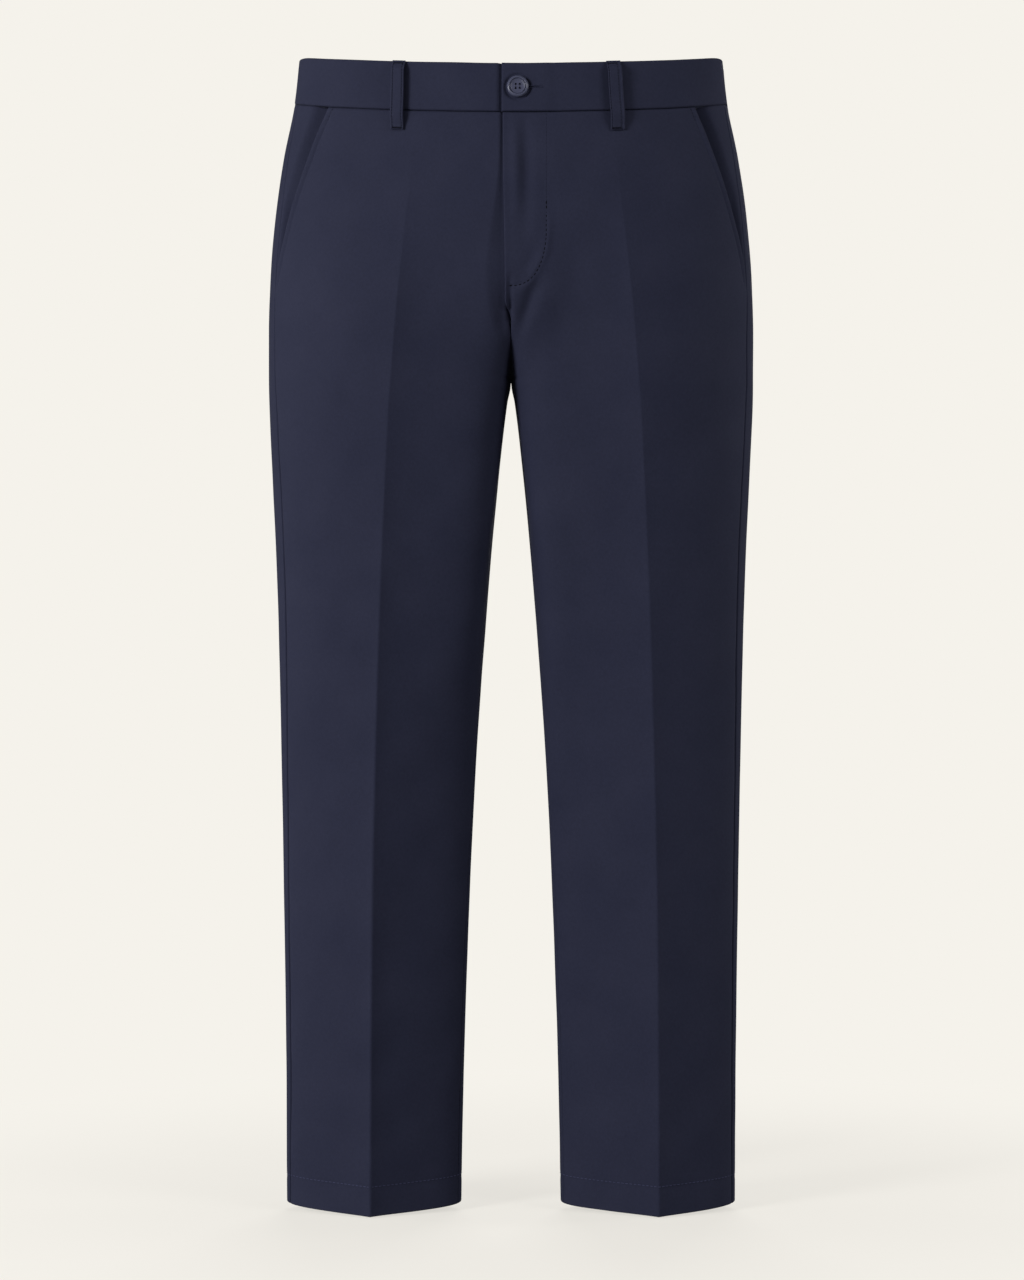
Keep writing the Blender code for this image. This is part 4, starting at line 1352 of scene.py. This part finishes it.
TEETH_X = 0.008          # x of the middle of the teeth
TEETH_APART = 0.0007     # how far each row is from it
TEETH_SPAN = (0.851, 0.984)
TEETH_PITCH = 0.00075
TOOTH = (0.0026, 0.0006, 0.0018)
SLIDER_HEIGHT = 0.9913
SLIDER_LENGTH = 0.0118
# Depth below its face, thickness and width of its two plates and its spine.
SLIDER_PLATES = ((0.00045, 0.0009, 0.0078), (0.00265, 0.0009, 0.0078), (0.00155, 0.0016, 0.0022))
SLIDER_NARROWING = 0.62


def zip_teeth():
    """Two rows of teeth that lock over each other through the tape."""
    teeth = bmesh.new()
    for k, height in enumerate(np.arange(*TEETH_SPAN, TEETH_PITCH)):
        x = TEETH_X + (TEETH_APART if k % 2 else -TEETH_APART)
        bmesh.ops.transform(teeth, verts=block(teeth, TOOTH),
                            matrix=seat_at(x, height, -(ZIP_SINK + CLOTH / 2)))
    bmesh.ops.bevel(teeth, geom=teeth.edges[:], offset=0.00012, segments=1, affect="EDGES")
    linked("zip_teeth", mesh_from(teeth, "zip_teeth"), DARK_METAL, slot="dark_metal")


def zip_slider():
    """The slider: two plates narrowing downward, joined by a spine."""
    body = bmesh.new()
    for depth, thick, wide in SLIDER_PLATES:
        corners = block(body, (wide, SLIDER_LENGTH, thick))
        for corner in corners:
            if corner.co.y < 0:
                corner.co.x *= SLIDER_NARROWING
        bmesh.ops.translate(body, verts=corners, vec=(0, 0, -depth))
    bmesh.ops.bevel(body, geom=body.edges[:], offset=0.00035, segments=2, affect="EDGES")
    seat = seat_at(TEETH_X, SLIDER_HEIGHT, -ZIP_SINK)
    linked("zip_slider_plates", finished_mesh(body, "zip_slider_plates", seat), DARK_METAL,
           "zip_slider", "dark_metal")


zip_teeth()
zip_slider()


# ------------------------------------------------------------------ camera, stage and light

CAMERA_DISTANCE = 3.0
CAMERA_X = 0.0009
CAMERA_Z = -0.514
FRAME_HEIGHT = 1.1776    # what the picture takes in, top to bottom, at the origin's depth
PALE = (0.9130, 0.8880, 0.8310, 1)
FLOOR = -1.0372
FLOOR_REACH = 20.0
FLOOR_LIT = 0.30         # share of the floor's tone near the hems that is lit, and that glows
FLOOR_GLOW = 0.72
SHADOW_MIDDLE = (0.05, 0.10, FLOOR)
SHADOW_REACH = (0.25, 0.85)  # distances from there between which the floor turns even
ROOM_LIGHT = 0.125
AIM = (0.0, 0.0, -0.50)
LAMP_REACH = 3.5
# Degrees to the right of the camera and up, width and height in metres, and watts.
LIGHTS = (
    ("key", -48, 14, (1.0, 1.5), 77.0),
    ("side", -70, -2, (1.6, 2.4), 18.0),
    ("left_edge", -104, 4, (0.8, 2.2), 24.0),
    ("front", -22, 2, (0.6, 1.8), 5.0),
    ("fill", 56, 25, (1.5, 1.5), 31.5),
    ("right_edge", 104, 4, (0.8, 2.2), 31.0),
    ("back", 175, 28, (2.0, 1.6), 60.0),
)


def camera():
    data = bpy.data.cameras.new("camera")
    data.sensor_width = 36.0
    data.lens = CAMERA_DISTANCE * data.sensor_width / FRAME_HEIGHT
    data.clip_end = 100.0
    made = in_scene("camera", data)
    made.location = (CAMERA_X, -CAMERA_DISTANCE, CAMERA_Z)
    made.rotation_euler = (radians(90), 0, 0)
    bpy.context.scene.camera = made


def light(name, azimuth, elevation, size, power):
    data = bpy.data.lights.new(name, "AREA")
    data.shape = "RECTANGLE"
    data.size, data.size_y = size
    data.energy = power
    across, up = radians(azimuth), radians(elevation)
    made = in_scene(name, data)
    made.location = (LAMP_REACH * sin(across) * cos(up), -LAMP_REACH * cos(across) * cos(up),
                     AIM[2] + LAMP_REACH * sin(up))
    made.rotation_euler = (Vector(AIM) - made.location).to_track_quat("-Z", "Y").to_euler()


def bare_tree(owner):
    owner.use_nodes = True
    owner.node_tree.nodes.clear()
    return owner.node_tree


def ended(tree, kind, factor, first, second):
    """Ends a tree with a mix of two shaders."""
    surface = added(tree, "MixShader", {0: factor, 1: first, 2: second})
    added(tree, kind, {"Surface": surface})


def stage():
    """A pale floor that takes a soft shadow near the hems and fades into the background."""
    mesh = bpy.data.meshes.new("floor")
    r = FLOOR_REACH
    mesh.from_pydata([(-r, -r, FLOOR), (r, -r, FLOOR), (r, r, FLOOR), (-r, r, FLOOR)], [], [(0, 1, 2, 3)])
    floor = in_scene("floor", mesh)
    made = bpy.data.materials.new("pale_floor")
    tree = bare_tree(made)
    place = added(tree, "TexCoord", output="Object")
    far = added(tree, "VectorMath", {0: place, 1: SHADOW_MIDDLE}, "Value", operation="DISTANCE")
    near_end, far_end = SHADOW_REACH
    fade = added(tree, "MapRange", {"Value": far, "From Min": near_end, "From Max": far_end},
                 interpolation_type="SMOOTHSTEP")
    lit = added(tree, "BsdfDiffuse", {"Color": (*shade(PALE[:3], FLOOR_LIT), 1)})
    glow = added(tree, "Emission", {"Color": PALE, "Strength": FLOOR_GLOW})
    near = added(tree, "AddShader", {0: lit, 1: glow})
    even = added(tree, "Emission", {"Color": PALE, "Strength": 1.0})
    ended(tree, "OutputMaterial", fade, near, even)
    mesh.materials.append(made)
    floor.visible_diffuse = False
    floor.visible_glossy = False


def surroundings():
    """The background the camera sees, and the dimmer light that the room gives back."""
    world = bpy.data.worlds.new("surroundings")
    tree = bare_tree(world)
    seen, room = (added(tree, "Background", {"Color": PALE, "Strength": strength})
                  for strength in (1.0, ROOM_LIGHT))
    path = added(tree, "LightPath", output="Is Camera Ray")
    ended(tree, "OutputWorld", path, room, seen)
    bpy.context.scene.world = world


camera()
stage()
surroundings()
for row in LIGHTS:
    light(*row)
bpy.context.scene.view_settings.view_transform = "Standard"
